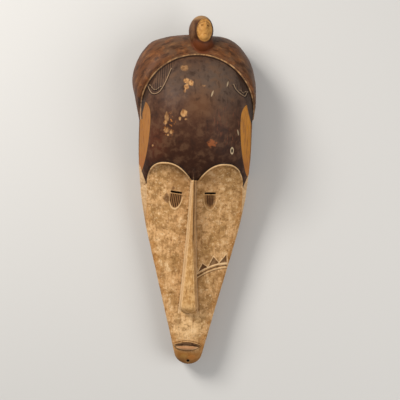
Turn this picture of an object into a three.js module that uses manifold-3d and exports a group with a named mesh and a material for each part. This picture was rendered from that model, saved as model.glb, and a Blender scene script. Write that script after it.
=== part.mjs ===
// A long wooden face mask, carved from one block and hollow at the back.
// It lies on its flat back rim: x runs across the face, y from the chin to the crown, z out of the face.
// All sizes are in millimetres. The shape is worked out from the midline and the chin, and moved at the end.
import * as THREE from "three";
import { ParametricGeometry } from "three/addons/geometries/ParametricGeometry.js";
import { mergeVertices } from "three/addons/utils/BufferGeometryUtils.js";
import Module from "manifold-3d";

// The outline of the face: a round chin, a straight taper, then a bend into the upright temples.
const TEMPLE_HALF_WIDTH = 89;
const TAPER = 0.2606;
const TAPER_HALF_WIDTH = 16.74;
const BEND_START = 190;
const BEND_END = BEND_START + (2 * (TEMPLE_HALF_WIDTH - TAPER_HALF_WIDTH - TAPER * BEND_START)) / TAPER;
const CROWN_START = 412;
const CROWN_REACH = 93;

// The side walls: how far they draw in at the back rim, how high they stand, and the bevel round the face.
const RIM_INSET = 1.2;
const FOOT_HEIGHT = 8;
const WALL_SPRING = 40;
const BEVEL_WIDTH = 2.8;
const BEVEL_DROP = 3.5;

// The forehead: a dome as high as the mask is deep.
const DOME_TOP = 134;
const DOME_CENTRE = 393;
const DOME_REACH_UP = 112;
const DOME_REACH_DOWN = 128;
const DOME_FOOT = 20;
const DOME_FULLNESS = 2.3;
const DOME_FROM = 268;
const DOME_TO = 504;

// The heart-shaped face panel under the forehead.
const HEART_X = 2;
const NOTCH = 289.6;
const LOBE_TOP = 315.8;
const LOBE_DROP = 34;
const LOBE_X = 48;
const LOBE_CURVE = 2.35;
const HEART_HALF_WIDTH = 75;
const HEART_SHOULDER = 281;
const HEART_SLOPE = 34;
const PANEL_TOP = 322;
const TUCK = 0.5;
const BEAD_RADIUS = 1.3;

// The flattened temples: where each cut lies, how it leans, and how it swings out at its top end.
const TEMPLE_CUT_Y = 350;
const TEMPLE_CUT_X = 70;
const TEMPLE_CUT_Z = 101;
const TEMPLE_CUT_LEAN = THREE.MathUtils.degToRad(17);
const TEMPLE_CUT_REACH = 70;
const TEMPLE_CUT_SWING = 16;
const TEMPLE_CUT_SWING_POWER = 6;

// The nose runs from just under the notch nearly to the mouth, and leans a little to its own right.
const NOSE_ROOT = 306;
const NOSE_END = 83;
const NOSE_ROUNDING = 12;
const NOSE_LEAN = 1.9;

// The mouth, with its slit between the lips.
const MOUTH_X = -1.9;
const MOUTH_Y = 32.6;
const MOUTH_HALF_WIDTH = 22.2;
const LIP_RISE = 47;

// The eyes: half-moons under slits that go right through.
const EYE_X = 26.3;
const EYE_SLIT_Y = 270.6;
const EYE_SLIT_WIDTH = 17.5;
const EYE_SLIT_HEIGHT = 2.4;
const MOON_TOP = 267.2;
const MOON_HALF_WIDTH = 9.6;
const MOON_HEIGHT = 20.5;
const EYE_DEPTH = 1.6;
const EYE_LINES = 6;

// Incised lines: the cheek's two, and the double arcs that hang from the hood's rim on each side.
const LINE_RADIUS = 1.1;
const CHEEK_LINE_GAP = 4.2;
const FANS = [
  [[-76, 431], [-70.5, 420.5], [-63, 417.4], [-54.5, 421.5], [-48, 432], [-43, 444], [-38.5, 457]],
  [[-72, 432], [-66.5, 425.2], [-60.5, 424.2], [-54, 428.5]],
  [[55.5, 436], [58.5, 429.5], [66, 422.8], [73.5, 419.2], [77, 421.5], [79, 427]],
  [[66.5, 428], [72, 423.8], [76, 427]],
];

// The hood behind the forehead, with a round front rim and three soft lobes.
const HOOD_X = 2.2;
const HOOD_Y = 394;
const HOOD_RIM_RADIUS = 88;
const HOOD_STEP = 3.2;
const HOOD_WIDEST_Z = 30;
const HOOD_END_Z = 16;
const HOOD_CREST = 3.5;
const HOOD_ROOT = 16;

// The small hooded head on the crown, turned a little to its own left.
const CREST_X = 4;
const CREST_Y = 520;
const CREST_Z = 84;
const CREST_TURN = THREE.MathUtils.degToRad(16);

// The wall left by the hollowing, the solid chin and crown, and the hole through the chin.
const WALL = 13;
const CHIN_BLOCK = 26;
const HOLLOW_TOP = 492;
const HOLLOW_FULLNESS = 2.2;
const HOLLOW_RISE_END = 357;
const CHIN_HOLE_RADIUS = 2;
const CHIN_HOLE_Y = 6.5;

// Cutting shapes run this far past what they cut, and the joined surface keeps no edge shorter than this.
const BEYOND = 220;
const SMALLEST_EDGE = 0.03;

const { clamp, lerp, smoothstep } = THREE.MathUtils;
const at = (x, y, z) => new THREE.Vector3(x, y, z);

const wasm = await Module();
wasm.setup();

// A three.js geometry as a closed solid, with its seams merged and its collapsed triangles dropped.
function solid(geometry) {
  const bare = geometry.index ? geometry.toNonIndexed() : geometry.clone();
  for (const name of Object.keys(bare.attributes)) {
    if (name !== "position") bare.deleteAttribute(name);
  }
  const merged = mergeVertices(bare, 1e-4);
  const corners = merged.index.array;
  const kept = [];
  for (let i = 0; i < corners.length; i += 3) {
    const [a, b, c] = [corners[i], corners[i + 1], corners[i + 2]];
    if (a !== b && b !== c && c !== a) kept.push(a, b, c);
  }
  const build = (triangles) =>
    new wasm.Manifold(
      new wasm.Mesh({
        numProp: 3,
        vertProperties: merged.attributes.position.array,
        triVerts: new Uint32Array(triangles),
      }),
    );
  const made = build(kept);
  return made.volume() > 0 ? made : build(kept.reverse());
}

// Evenly stepped values from one number to another.
function steps(from, to, count) {
  return Array.from({ length: count + 1 }, (_, i) => from + ((to - from) * i) / count);
}

// Values from one number to another, crowded towards the start, for an end that is rounded.
function crowded(from, to, count) {
  return steps(0, 1, count).map((t) => from + (to - from) * (1 - Math.cos((t * Math.PI) / 2)));
}

// A solid through closed rings of points, one ring per station, with a flat cap on each end.
function loft(rings) {
  const around = rings[0].length;
  const middle = (ring) =>
    ring.reduce((sum, p) => sum.add(p), new THREE.Vector3()).divideScalar(ring.length);
  const last = rings.length - 1;
  const ends = [middle(rings[0]), middle(rings[last])];
  const place = (s, t, target) => {
    const row = Math.round(t * (last + 2)) - 1;
    const column = Math.round(s * around) % around;
    if (row < 0) target.copy(ends[0]);
    else if (row > last) target.copy(ends[1]);
    else target.copy(rings[row][column]);
  };
  return solid(new ParametricGeometry(place, around, last + 2));
}

// A ball stretched to three radii, turned about y if asked, and set in place.
function ball(middle, radii, segments, turn = 0) {
  const geometry = new THREE.SphereGeometry(1, segments, Math.round(0.7 * segments));
  geometry.scale(radii.x, radii.y, radii.z);
  geometry.rotateY(turn);
  geometry.translate(middle.x, middle.y, middle.z);
  return solid(geometry);
}

// A thin rod along a path: six-sided for a raised bead, or four-sided to take away for an incised line.
function rod(points, radius, length, sides = 4) {
  const path = new THREE.CatmullRomCurve3(points);
  const section = new THREE.Shape().absarc(0, 0, radius, 0, 2 * Math.PI);
  const options = { steps: length, extrudePath: path, bevelEnabled: false, curveSegments: sides / 2 };
  return solid(new THREE.ExtrudeGeometry(section, options));
}

const joined = (pieces) => pieces.reduce((sum, piece) => sum.add(piece));

// Half the width of the outline at a height above the chin.
function halfWidth(y) {
  const straight = TAPER_HALF_WIDTH + TAPER * y;
  const slant = Math.atan(TAPER);
  const chin = TAPER_HALF_WIDTH / (Math.cos(slant) - TAPER * (1 - Math.sin(slant)));
  if (y < chin * (1 - Math.sin(slant))) {
    return Math.sqrt(Math.max(0, chin ** 2 - (chin - y) ** 2));
  }
  if (y < BEND_START) return straight;
  if (y > CROWN_START) {
    return TEMPLE_HALF_WIDTH * Math.sqrt(Math.max(0, 1 - ((y - CROWN_START) / CROWN_REACH) ** 2));
  }
  if (y > BEND_END) return TEMPLE_HALF_WIDTH;
  return straight - (TAPER * (y - BEND_START) ** 2) / (2 * (BEND_END - BEND_START));
}

// A smooth line through a few heights given along y, as a function of y.
function profile(heights) {
  const curve = new THREE.SplineCurve(heights.map(([y, z]) => new THREE.Vector2(y, z)));
  const fine = curve.getPoints(12 * heights.length);
  return (y) => {
    if (y <= fine[0].x) return fine[0].y;
    for (let i = 1; i < fine.length; i++) {
      if (y <= fine[i].x) {
        const t = (y - fine[i - 1].x) / (fine[i].x - fine[i - 1].x);
        return lerp(fine[i - 1].y, fine[i].y, t);
      }
    }
    return fine[fine.length - 1].y;
  };
}

// Height of the panel on its midline, under the nose, and how far it falls away to its edges.
const panelMiddle = profile([
  [0, 30], [5, 39], [14, 46.5], [30, 49.5], [60, 53], [150, 58], [220, 64], [275, 76], [PANEL_TOP, 97],
]);
const panelFall = profile([[0, 5], [30, 5], [85, 10], [150, 14], [220, 18], [PANEL_TOP, 19]]);

function panelHeight(x, y) {
  const across = Math.min(1, Math.abs(x) / halfWidth(y));
  return panelMiddle(y) - panelFall(y) * across ** 2;
}

const domeShare = (y) => {
  const reach = y > DOME_CENTRE ? DOME_REACH_UP : DOME_REACH_DOWN;
  return Math.sqrt(Math.max(0, 1 - ((y - DOME_CENTRE) / reach) ** 2));
};
const domeMiddle = (y) => DOME_FOOT + (DOME_TOP - DOME_FOOT) * domeShare(y);
const wallSpring = (y) => (y > DOME_CENTRE ? WALL_SPRING * domeShare(y) : WALL_SPRING);

// Height of the forehead at a place, on a section that is a full rounded arch.
function domeHeight(x, y) {
  const across = Math.min(1, Math.abs(x) / halfWidth(y));
  const arch = (1 - across ** DOME_FULLNESS) ** (1 / DOME_FULLNESS);
  return wallSpring(y) + (domeMiddle(y) - wallSpring(y)) * arch;
}

// The lower face: upright walls, a narrow bevel, then the gently arched panel.
// Where it runs on inside the forehead it is drawn in a little, so no two walls coincide.
function faceRing(y) {
  const tucked = TUCK * smoothstep(y, HEART_SHOULDER - 2 * FOOT_HEIGHT, HEART_SHOULDER);
  const w = Math.max(0.6, halfWidth(y) - tucked);
  const edge = Math.max(0.3, w - BEVEL_WIDTH);
  const foot = w - Math.min(0.5, RIM_INSET);
  const shoulder = panelHeight(edge, y) - BEVEL_DROP;
  const ring = steps(-edge, edge, 12).map((x) => at(x, y, panelHeight(x, y)));
  ring.push(at(w, y, shoulder), at(w, y, FOOT_HEIGHT), at(foot, y, 0));
  ring.push(at(-foot, y, 0), at(-w, y, FOOT_HEIGHT), at(-w, y, shoulder));
  return ring;
}

// A rounded arch between two sides, full at the shoulders, as points from left to right.
function arch(half, fullness, count, place) {
  return steps(Math.PI, 0, count).map((angle) => {
    const across = Math.cos(angle);
    const up = Math.max(0, Math.sin(angle));
    return place(half * Math.sign(across) * Math.abs(across) ** (2 / fullness), up ** (2 / fullness));
  });
}

// The forehead: upright walls under a full arch.
function domeRing(y) {
  const w = halfWidth(y);
  const foot = Math.min(FOOT_HEIGHT, wallSpring(y) / 2);
  const ring = arch(w, DOME_FULLNESS, 20, (x) => at(x, y, domeHeight(x, y)));
  ring.push(at(w, y, foot), at(w - RIM_INSET, y, 0), at(-w + RIM_INSET, y, 0), at(-w, y, foot));
  return ring;
}

// The brow, from the notch over each lobe and down to the shoulder of the heart.
function browHeight(x) {
  const across = Math.abs(x - HEART_X);
  if (across <= LOBE_X) {
    return Math.max(NOTCH, LOBE_TOP - LOBE_DROP * (1 - across / LOBE_X) ** LOBE_CURVE);
  }
  const out = Math.min(1, (across - LOBE_X) / (HEART_HALF_WIDTH - LOBE_X));
  return HEART_SHOULDER + (LOBE_TOP - HEART_SHOULDER) * (1 - out ** LOBE_CURVE) ** (1 / LOBE_CURVE);
}

// The heart-shaped panel in plan, run on past the chin and the sides, and drawn outwards if asked.
function heartPrism(outwards = 0) {
  const shape = new THREE.Shape();
  const aside = 120;
  const shoulderEnd = HEART_SHOULDER - HEART_SLOPE + outwards;
  const lobe = (angle) => {
    const x = (HEART_HALF_WIDTH - LOBE_X) * Math.cos(angle);
    const lobeX = HEART_X + x + Math.sign(x) * LOBE_X;
    shape.lineTo(lobeX + outwards * Math.cos(angle), browHeight(lobeX) + outwards);
  };
  shape.moveTo(-aside, -aside);
  shape.lineTo(aside, -aside);
  shape.lineTo(aside, shoulderEnd);
  steps(0, Math.PI / 2, 7).slice(0, -1).forEach(lobe);
  for (const x of steps(LOBE_X, -LOBE_X, 16)) shape.lineTo(HEART_X + x, browHeight(HEART_X + x) + outwards);
  steps(Math.PI / 2, Math.PI, 7).slice(1).forEach(lobe);
  shape.lineTo(-aside, shoulderEnd);
  const geometry = new THREE.ExtrudeGeometry(shape, { depth: BEYOND + 5, bevelEnabled: false });
  geometry.translate(0, 0, -5);
  return solid(geometry);
}

// The room in front of the panel, down to just under its surface.
function frontOfPanel() {
  const side = 100;
  const rings = steps(HEART_SHOULDER - 53, PANEL_TOP + 8, 12).map((y) => {
    const ring = steps(-side, side, 12).map((x) => at(x, y, panelHeight(x, y) - 2));
    return [...ring, at(side, y, BEYOND - 20), at(-side, y, BEYOND - 20)];
  });
  return loft(rings).intersect(heartPrism());
}

function lowerFace() {
  const chinEnd = 24;
  const stations = [...crowded(0.02, chinEnd, 7), ...steps(chinEnd, PANEL_TOP, 28).slice(1)];
  return loft(stations.map(faceRing)).intersect(heartPrism(TUCK));
}

// The flattened temple: a straight cut down the side of the forehead that swings out at its top end.
function templeCut(side) {
  const [low, high, far] = [WALL_SPRING - 10, DOME_TOP + 16, 140];
  const above = steps(TEMPLE_CUT_Y, TEMPLE_CUT_Y + TEMPLE_CUT_REACH, 13);
  const rings = [TEMPLE_CUT_Y - TEMPLE_CUT_REACH, ...above].map((y) => {
    const up = Math.max(0, y - TEMPLE_CUT_Y) / TEMPLE_CUT_REACH;
    const start = TEMPLE_CUT_X + TEMPLE_CUT_SWING * up ** TEMPLE_CUT_SWING_POWER;
    const aside = (z) => start + (TEMPLE_CUT_Z - z) * Math.tan(TEMPLE_CUT_LEAN);
    const face = (z) => at(side * aside(z), y, z);
    return [face(low), face(high), at(side * far, y, high), at(side * far, y, low)];
  });
  return loft(rings);
}

// The forehead, with its foot cut back to the heart, its temples flattened and its fans incised.
function forehead() {
  const middle = DOME_CENTRE + 7;
  const stations = [...steps(DOME_FROM, middle, 16), ...crowded(DOME_TO, middle, 14).reverse().slice(1)];
  const cuts = [frontOfPanel(), templeCut(1), templeCut(-1), fans()];
  return loft(stations.map(domeRing)).subtract(joined(cuts));
}

// The arcs that hang from the hood's rim, incised in the forehead.
function fans() {
  const arcs = FANS.map((course) => {
    const points = course.map(([x, y]) => at(x, y, domeHeight(x, y) + 0.2));
    return rod(points, LINE_RADIUS, 3 * (course.length - 1));
  });
  return joined(arcs);
}

// The hood's outline about the centre of its rim: a bigger left lobe, a middle lobe and a right one.
const hoodOutline = new THREE.SplineCurve(
  [
    [-92.5, -10], [-98.7, 21], [-104.6, 53], [-96.3, 85], [-78.7, 110], [-54.7, 120.4], [-32.7, 124],
    [-8.7, 126], [15.3, 125], [36.3, 123.6], [55.3, 116], [71.8, 99.5], [83.7, 78], [90, 51], [91.3, 21],
    [89.5, -5],
  ].map(([x, y]) => new THREE.Vector2(x, y)),
);

// A slice of the hood from its rim on the forehead, back over its shoulder and under to the flat back.
function hoodRing(t) {
  const edge = hoodOutline.getPoint(t);
  const reach = Math.max(edge.length(), HOOD_RIM_RADIUS + 0.8);
  const aim = edge.clone().normalize();
  const rise = smoothstep(aim.y, -0.12, 0.26);
  const seat = at(HOOD_X + HOOD_RIM_RADIUS * aim.x, HOOD_Y + HOOD_RIM_RADIUS * aim.y, 0);
  const seatX = Math.min(Math.abs(seat.x), 0.975 * halfWidth(seat.y));
  const rimZ = lerp(HOOD_END_Z, domeHeight(seatX, seat.y) + HOOD_STEP, rise);
  const overhang = reach - HOOD_RIM_RADIUS;
  const shoulderAt = HOOD_RIM_RADIUS + Math.min(HOOD_CREST, 0.4 * overhang);
  const widest = Math.min(HOOD_WIDEST_Z, 0.7 * rimZ);
  const out = (radius, z) => at(HOOD_X + radius * aim.x, HOOD_Y + radius * aim.y, z);
  const ring = [out(HOOD_RIM_RADIUS - HOOD_ROOT, 0), out(reach - Math.min(7, 0.5 * overhang), 0)];
  ring.push(out(reach - Math.min(1.6, 0.2 * overhang), 0.45 * widest));
  for (const angle of steps(0, Math.PI / 2, 7)) {
    const radius = lerp(shoulderAt, reach, Math.cos(angle));
    ring.push(out(radius, lerp(widest, rimZ, Math.sin(angle))));
  }
  ring.push(out(HOOD_RIM_RADIUS, rimZ - 0.8), out(HOOD_RIM_RADIUS, rimZ - 9 * rise - 1));
  ring.push(out(HOOD_RIM_RADIUS - HOOD_ROOT, 0.6 * rimZ));
  return ring;
}

const hood = () => loft(steps(0, 1, 48).map(hoodRing));

// The nose: a long flat-fronted ridge that widens from the notch down to a rounded end.
function nose() {
  const ridge = profile([[NOSE_END, 71], [95, 75.5], [150, 79.5], [220, 87], [NOTCH, 98], [NOSE_ROOT, 105]]);
  const straight = NOSE_END + NOSE_ROUNDING;
  const stations = [...crowded(NOSE_END, straight, 5), ...steps(straight, NOSE_ROOT, 16).slice(1)];
  const rings = stations.map((y) => {
    const down = (NOSE_ROOT - y) / (NOSE_ROOT - NOSE_END);
    const rounding = Math.sqrt(1 - clamp((straight - y) / NOSE_ROUNDING, 0, 0.97) ** 2);
    const front = (1.2 + 10.6 * down ** 1.9) * rounding;
    const base = (4 + 11.4 * down ** 1.5) * rounding;
    const low = panelMiddle(y) - 8;
    const top = lerp(low, ridge(y), 0.62 + 0.38 * rounding);
    const flank = [
      [base, low],
      [base, low + 9],
      [lerp(base, front, 0.32), lerp(low + 9, top, 0.5)],
      [front, top - 1.3],
      [0.5 * front, top],
    ];
    const right = flank.map(([x, z]) => at(x - NOSE_LEAN * down, y, z));
    const left = flank.map(([x, z]) => at(-x - NOSE_LEAN * down, y, z)).reverse();
    return [...right, ...left];
  });
  return loft(rings);
}

// The mouth: a thin arched upper lip over a lens-shaped lower lip.
function mouth() {
  const upper = ball(at(MOUTH_X, MOUTH_Y, LIP_RISE), at(MOUTH_HALF_WIDTH, 5.4, 9), 18);
  const lower = ball(at(MOUTH_X, MOUTH_Y - 4.4, LIP_RISE), at(0.9 * MOUTH_HALF_WIDTH, 4.4, 8.5), 18);
  return upper.add(lower);
}

function mouthSlit() {
  const half = 0.9 * MOUTH_HALF_WIDTH;
  const place = (x) => at(MOUTH_X + x, MOUTH_Y - 0.004 * x * x, LIP_RISE + 9.5 - 0.016 * x * x);
  const path = steps(-half, half, 6).map(place);
  return rod(path, 1.4, 12);
}

// One eye: the slit through the mask, and below it the half-moon with its upright lines.
function eye(side, tilt) {
  const x = side * EYE_X;
  const slit = new THREE.BoxGeometry(EYE_SLIT_WIDTH, EYE_SLIT_HEIGHT, 90);
  slit.rotateZ(tilt);
  slit.translate(x, EYE_SLIT_Y, 60);
  const moon = new THREE.Shape();
  moon.moveTo(-MOON_HALF_WIDTH, 0);
  moon.lineTo(MOON_HALF_WIDTH, 0);
  moon.quadraticCurveTo(MOON_HALF_WIDTH, -0.68 * MOON_HEIGHT, 0, -MOON_HEIGHT);
  moon.quadraticCurveTo(-MOON_HALF_WIDTH, -0.68 * MOON_HEIGHT, -MOON_HALF_WIDTH, 0);
  const pocket = new THREE.ExtrudeGeometry(moon, { depth: 20, bevelEnabled: false, curveSegments: 5 });
  const rise = (panelHeight(x, MOON_TOP) - panelHeight(x, MOON_TOP - MOON_HEIGHT)) / MOON_HEIGHT;
  const [inner, outer] = [x - side * MOON_HALF_WIDTH, x + side * MOON_HALF_WIDTH];
  const fall = (panelHeight(inner, MOON_TOP) - panelHeight(outer, MOON_TOP)) / (2 * MOON_HALF_WIDTH);
  pocket.rotateZ(tilt);
  pocket.rotateX(Math.atan(rise));
  pocket.rotateY(side * Math.atan(fall));
  pocket.translate(x, MOON_TOP, panelHeight(x, MOON_TOP) - EYE_DEPTH);
  const spread = 0.7 * MOON_HALF_WIDTH;
  const lines = steps(-spread, spread, EYE_LINES - 1).map((offset) => {
    const top = MOON_TOP - 1.8 + tilt * offset;
    const foot = MOON_TOP - 0.8 * MOON_HEIGHT + 0.06 * offset ** 2;
    const path = [top, foot].map((y) => at(x + offset, y, panelHeight(x + offset, y) - EYE_DEPTH));
    return rod(path, 0.9, 1);
  });
  return joined([solid(slit), solid(pocket), ...lines]);
}

// Cheek scarification on the right side: two arched lines that climb outwards.
function cheekLines() {
  const course = [[8.4, 143.6], [20, 151.5], [31, 156.4], [43, 159.8], [54, 161.2]];
  const lines = [0, CHEEK_LINE_GAP].map((drop) => {
    const points = course.map(([x, y]) => at(x, y - drop, panelHeight(x, y - drop) + 0.3));
    return rod(points, LINE_RADIUS, 12);
  });
  return joined(lines);
}

// The small head on the crown: hood, oval face with brow, nose and eye hollows, chin and neck.
function crest() {
  const piece = (x, y, z, rx, ry, rz, segments) => {
    const middle = at(x, y, z).applyAxisAngle(at(0, 1, 0), CREST_TURN).add(at(CREST_X, CREST_Y, CREST_Z));
    return ball(middle, at(rx, ry, rz), segments, CREST_TURN);
  };
  const hoodBall = piece(0, 0, 0, 18.4, 23.4, 24, 18);
  const opening = piece(0.6, 0, 23, 13.4, 18.6, 12, 14);
  const face = piece(0.6, -0.4, 11.5, 12.2, 16.8, 11.5, 16);
  const jaw = piece(0.6, -10, 14.5, 8, 7.5, 9.5, 10);
  const hollows = [-1, 1].map((side) => piece(0.6 + side * 5, 6.4, 22, 2.8, 1.8, 3, 8));
  const bridge = piece(0.6, 5.6, 22, 2, 6.5, 4.4, 8);
  const neck = piece(2.2, -14.5, 4, 16, 19.5, 14.5, 12);
  const bust = joined([hoodBall.subtract(opening), face, jaw]).subtract(joined(hollows));
  return joined([bust, bridge, neck]);
}

// The space hollowed from the back, a wall's thickness inside the face and the forehead.
function hollow() {
  const tail = 70;
  const middle = DOME_CENTRE + 7;
  const stations = [
    ...crowded(CHIN_BLOCK, tail, 6),
    ...steps(tail, middle, 16).slice(1),
    ...crowded(HOLLOW_TOP, middle, 8).reverse().slice(1),
  ];
  const rings = stations.map((y) => {
    const start = Math.sqrt(clamp((y - CHIN_BLOCK + 1) / 30, 0, 1));
    const past = Math.max(0, y - CROWN_START) / (CROWN_REACH - WALL + 1);
    const closing = Math.max(0.12, Math.sqrt(1 - past ** 2));
    const half = (Math.min(halfWidth(y), TEMPLE_HALF_WIDTH) - WALL) * Math.max(0.35, start);
    const wide = y > CROWN_START ? (TEMPLE_HALF_WIDTH - WALL) * closing : half;
    const intoDome = smoothstep(y, HEART_SHOULDER - 5, HOLLOW_RISE_END);
    const roof = lerp(panelMiddle(y) - WALL - 1, domeMiddle(y) - WALL - 2, intoDome);
    const high = Math.max(6, roof * lerp(0.3, 1, start));
    const ring = arch(wide, HOLLOW_FULLNESS, 16, (x, up) => at(x, y, high * up));
    ring.push(at(wide, y, -6), at(-wide, y, -6));
    return ring;
  });
  return loft(rings);
}

function chinHole() {
  const drill = new THREE.CylinderGeometry(CHIN_HOLE_RADIUS, CHIN_HOLE_RADIUS, 120, 16);
  drill.rotateX(Math.PI / 2);
  drill.translate(0, CHIN_HOLE_Y, 40);
  return solid(drill);
}

// The thin raised bead that edges the heart along one half of the brow.
function browBead(side) {
  const points = steps(2, HEART_HALF_WIDTH - 6, 9).map((across) => {
    const x = HEART_X + side * across;
    const y = browHeight(x) - 1.2;
    return at(x, y, Math.max(panelHeight(x, y), domeHeight(x, y + 1.5) - 1.2));
  });
  return rod(points, BEAD_RADIUS, 14, 6);
}

function carving() {
  const face = lowerFace().subtract(cheekLines());
  const block = joined([face, forehead(), hood(), crest(), browBead(-1), browBead(1), nose()]);
  const cuts = joined([chinHole(), mouthSlit(), eye(-1, -0.12), eye(1, 0.02)]);
  return block.subtract(hollow()).add(mouth()).subtract(cuts).simplify(SMALLEST_EDGE);
}

// The solid as a mesh in the part's frame, with the back on the ground and the middle over the origin.
function placed(shape) {
  const found = shape.getMesh();
  const geometry = new THREE.BufferGeometry();
  geometry.setAttribute("position", new THREE.BufferAttribute(new Float32Array(found.vertProperties), 3));
  geometry.setIndex(new THREE.BufferAttribute(new Uint32Array(found.triVerts), 1));
  geometry.computeBoundingBox();
  const centre = geometry.boundingBox.getCenter(new THREE.Vector3());
  geometry.translate(-centre.x, -centre.y, -geometry.boundingBox.min.z);
  geometry.computeVertexNormals();
  return geometry;
}

const wood = new THREE.MeshStandardMaterial({ color: 0xb08a5e, roughness: 0.75, metalness: 0 });
const mask = new THREE.Mesh(placed(carving()), wood);
mask.name = "carved_mask";

const part = new THREE.Group();
part.add(mask);
export default part;
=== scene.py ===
import itertools
import math

import bmesh
import bpy
import numpy as np
from mathutils import Euler, Matrix, Vector


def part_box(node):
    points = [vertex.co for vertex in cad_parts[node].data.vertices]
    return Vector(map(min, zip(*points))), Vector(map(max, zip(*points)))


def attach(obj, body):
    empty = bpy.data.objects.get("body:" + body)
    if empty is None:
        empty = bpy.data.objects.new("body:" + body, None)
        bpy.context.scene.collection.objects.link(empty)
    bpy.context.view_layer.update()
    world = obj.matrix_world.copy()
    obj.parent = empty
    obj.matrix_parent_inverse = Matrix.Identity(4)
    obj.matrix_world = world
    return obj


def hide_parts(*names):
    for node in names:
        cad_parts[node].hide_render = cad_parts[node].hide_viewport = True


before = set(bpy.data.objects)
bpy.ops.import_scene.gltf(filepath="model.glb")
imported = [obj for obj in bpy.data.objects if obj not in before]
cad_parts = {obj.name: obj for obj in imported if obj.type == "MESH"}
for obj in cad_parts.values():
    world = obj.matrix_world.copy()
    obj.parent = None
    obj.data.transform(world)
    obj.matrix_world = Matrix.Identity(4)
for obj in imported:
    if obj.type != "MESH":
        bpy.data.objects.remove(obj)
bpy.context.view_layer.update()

bl_info = {
    "name": "Heart-faced mask",
    "version": (1, 0, 0),
    "blender": (4, 5, 0),
    "location": "3D View > Sidebar > Mask",
    "description": "Carves and finishes a long wooden mask with a chalk-white heart-shaped face",
    "category": "Add Mesh",
}

# The carving is worked out in millimetres: x from the midline, y from the chin, z from the flat back.
MM = 0.001
NODE = "carved_mask"
LOW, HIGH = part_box(NODE)

# The outline of the face: a round chin, a straight taper, then a bend into the upright temples.
TEMPLE_HALF_WIDTH = 89
TAPER = 0.2606
TAPER_HALF_WIDTH = 16.74
BEND_START = 190
BEND_END = BEND_START + 2 * (TEMPLE_HALF_WIDTH - TAPER_HALF_WIDTH - TAPER * BEND_START) / TAPER
CROWN_START = 412
CROWN_REACH = 93

# The side walls and their narrower foot, and the bevel between them and the face.
RIM_INSET = 1.2
FOOT_HEIGHT = 8
WALL_SPRING = 40
BEVEL_WIDTH = 2.8
BEVEL_DROP = 3.5

# The forehead: a dome as high as the mask is deep.
DOME_TOP = 134
DOME_CENTRE = 393
DOME_REACH_UP = 112
DOME_REACH_DOWN = 128
DOME_FOOT = 20
DOME_FULLNESS = 2.3
DOME_FROM = 268
DOME_TURN = 400
DOME_TO = 504

# The heart-shaped face panel under the forehead.
HEART_X = 2
NOTCH = 289.6
LOBE_TOP = 315.8
LOBE_DROP = 34
LOBE_X = 48
LOBE_CURVE = 2.35
HEART_HALF_WIDTH = 75
HEART_SHOULDER = 281
HEART_SLOPE = 34
SLOPE_END_X = 120
PANEL_TOP = 322
TUCK = 0.5
BEAD_RADIUS = 1.3

# The flattened temples: where each cut lies, how it leans, and how it swings out at its top end.
TEMPLE_CUT_Y = 350
TEMPLE_CUT_X = 70
TEMPLE_CUT_Z = 101
TEMPLE_CUT_LEAN = math.tan(math.radians(17))
TEMPLE_CUT_REACH = 70
TEMPLE_CUT_SWING = 16
TEMPLE_CUT_SWING_POWER = 6

# The nose, the mouth and the eyes.
NOSE_ROOT = 306
NOSE_END = 83
NOSE_ROUNDING = 12
NOSE_LEAN = 1.9
NOSE_SUNK = 8
NOSE_UPRIGHT = 9
CRACK_X = 2.4
CRACK_Y = 190
CRACK_LEAN = 0.011
MOUTH_X = -1.9
MOUTH_Y = 32.6
MOUTH_HALF_WIDTH = 22.2
LIP_RISE = 47
UPPER_LIP = (MOUTH_HALF_WIDTH, 5.4, 9)
LOWER_LIP = (0.9 * MOUTH_HALF_WIDTH, 4.4, 8.5)
LOWER_LIP_DROP = 4.4
MOUTH_SLIT_RADIUS = 1.4
EYE_X = 26.3
EYE_SLIT_Y = 270.6
EYE_SLIT_WIDTH = 17.5
EYE_SLIT_HEIGHT = 2.4
EYE_TILT = {-1: -0.12, 1: 0.02}

# The hood behind the forehead, with a round front rim and three soft lobes. Its rim climbs from two low
# ends to its full height where the way out from its middle rises from the first share up to the second.
# The outline runs from the left end over the lobes to the right end, as offsets from the hood's middle.
HOOD_X = 2.2
HOOD_Y = 394
HOOD_RIM_RADIUS = 88
HOOD_STEP = 3.2
HOOD_WIDEST_Z = 30
HOOD_END_Z = 16
HOOD_CREST = 3.5
HOOD_ROOT = 16
HOOD_CLIMB = (-0.12, 0.26)
HOOD_LEAST_OVERHANG = 0.8
HOOD_FOOT_INSET = 7
HOOD_WAIST_INSET = 1.6
HOOD_OUTLINE = [
    (-92.5, -10), (-98.7, 21), (-104.6, 53), (-96.3, 85), (-78.7, 110), (-54.7, 120.4), (-32.7, 124),
    (-8.7, 126), (15.3, 125), (36.3, 123.6), (55.3, 116), (71.8, 99.5), (83.7, 78), (90, 51), (91.3, 21),
    (89.5, -5),
]

# The small hooded head on the crown, turned a little to its own left.
CREST_PLACE = Vector((4, 520, 84))
CREST_TURN = math.radians(16)
CREST_HOOD = (18.4, 23.4, 24)
CREST_FACE_X = 0.6
CREST_EYE_X = 5
CREST_EYE_Y = 6.4
CREST_NECK_AT = (2.2, -14.5, 4)
CREST_NECK = (16, 19.5, 14.5)

# The hollow at the back, and the hole through the chin.
WALL = 13
CHIN_BLOCK = 26
HOLLOW_TOP = 492
HOLLOW_FULLNESS = 2.2
HOLLOW_RISE_START = 276
HOLLOW_RISE_END = 357
HOLLOW_TAIL = 30
CHIN_HOLE_RADIUS = 2
CHIN_HOLE_Y = 6.5

# The half-moons under the eye slits, with their upright lines.
MOON_TOP = 267.2
MOON_HALF_WIDTH = 9.6
MOON_HEIGHT = 20.5
MOON_DEPTH = 1.3
MOON_LINES = 6
MOON_PITCH = 1.5 * MOON_HALF_WIDTH / (MOON_LINES - 1)
CORE_HALF_WIDTH = 6.4
CORE_HEIGHT = 17

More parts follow.
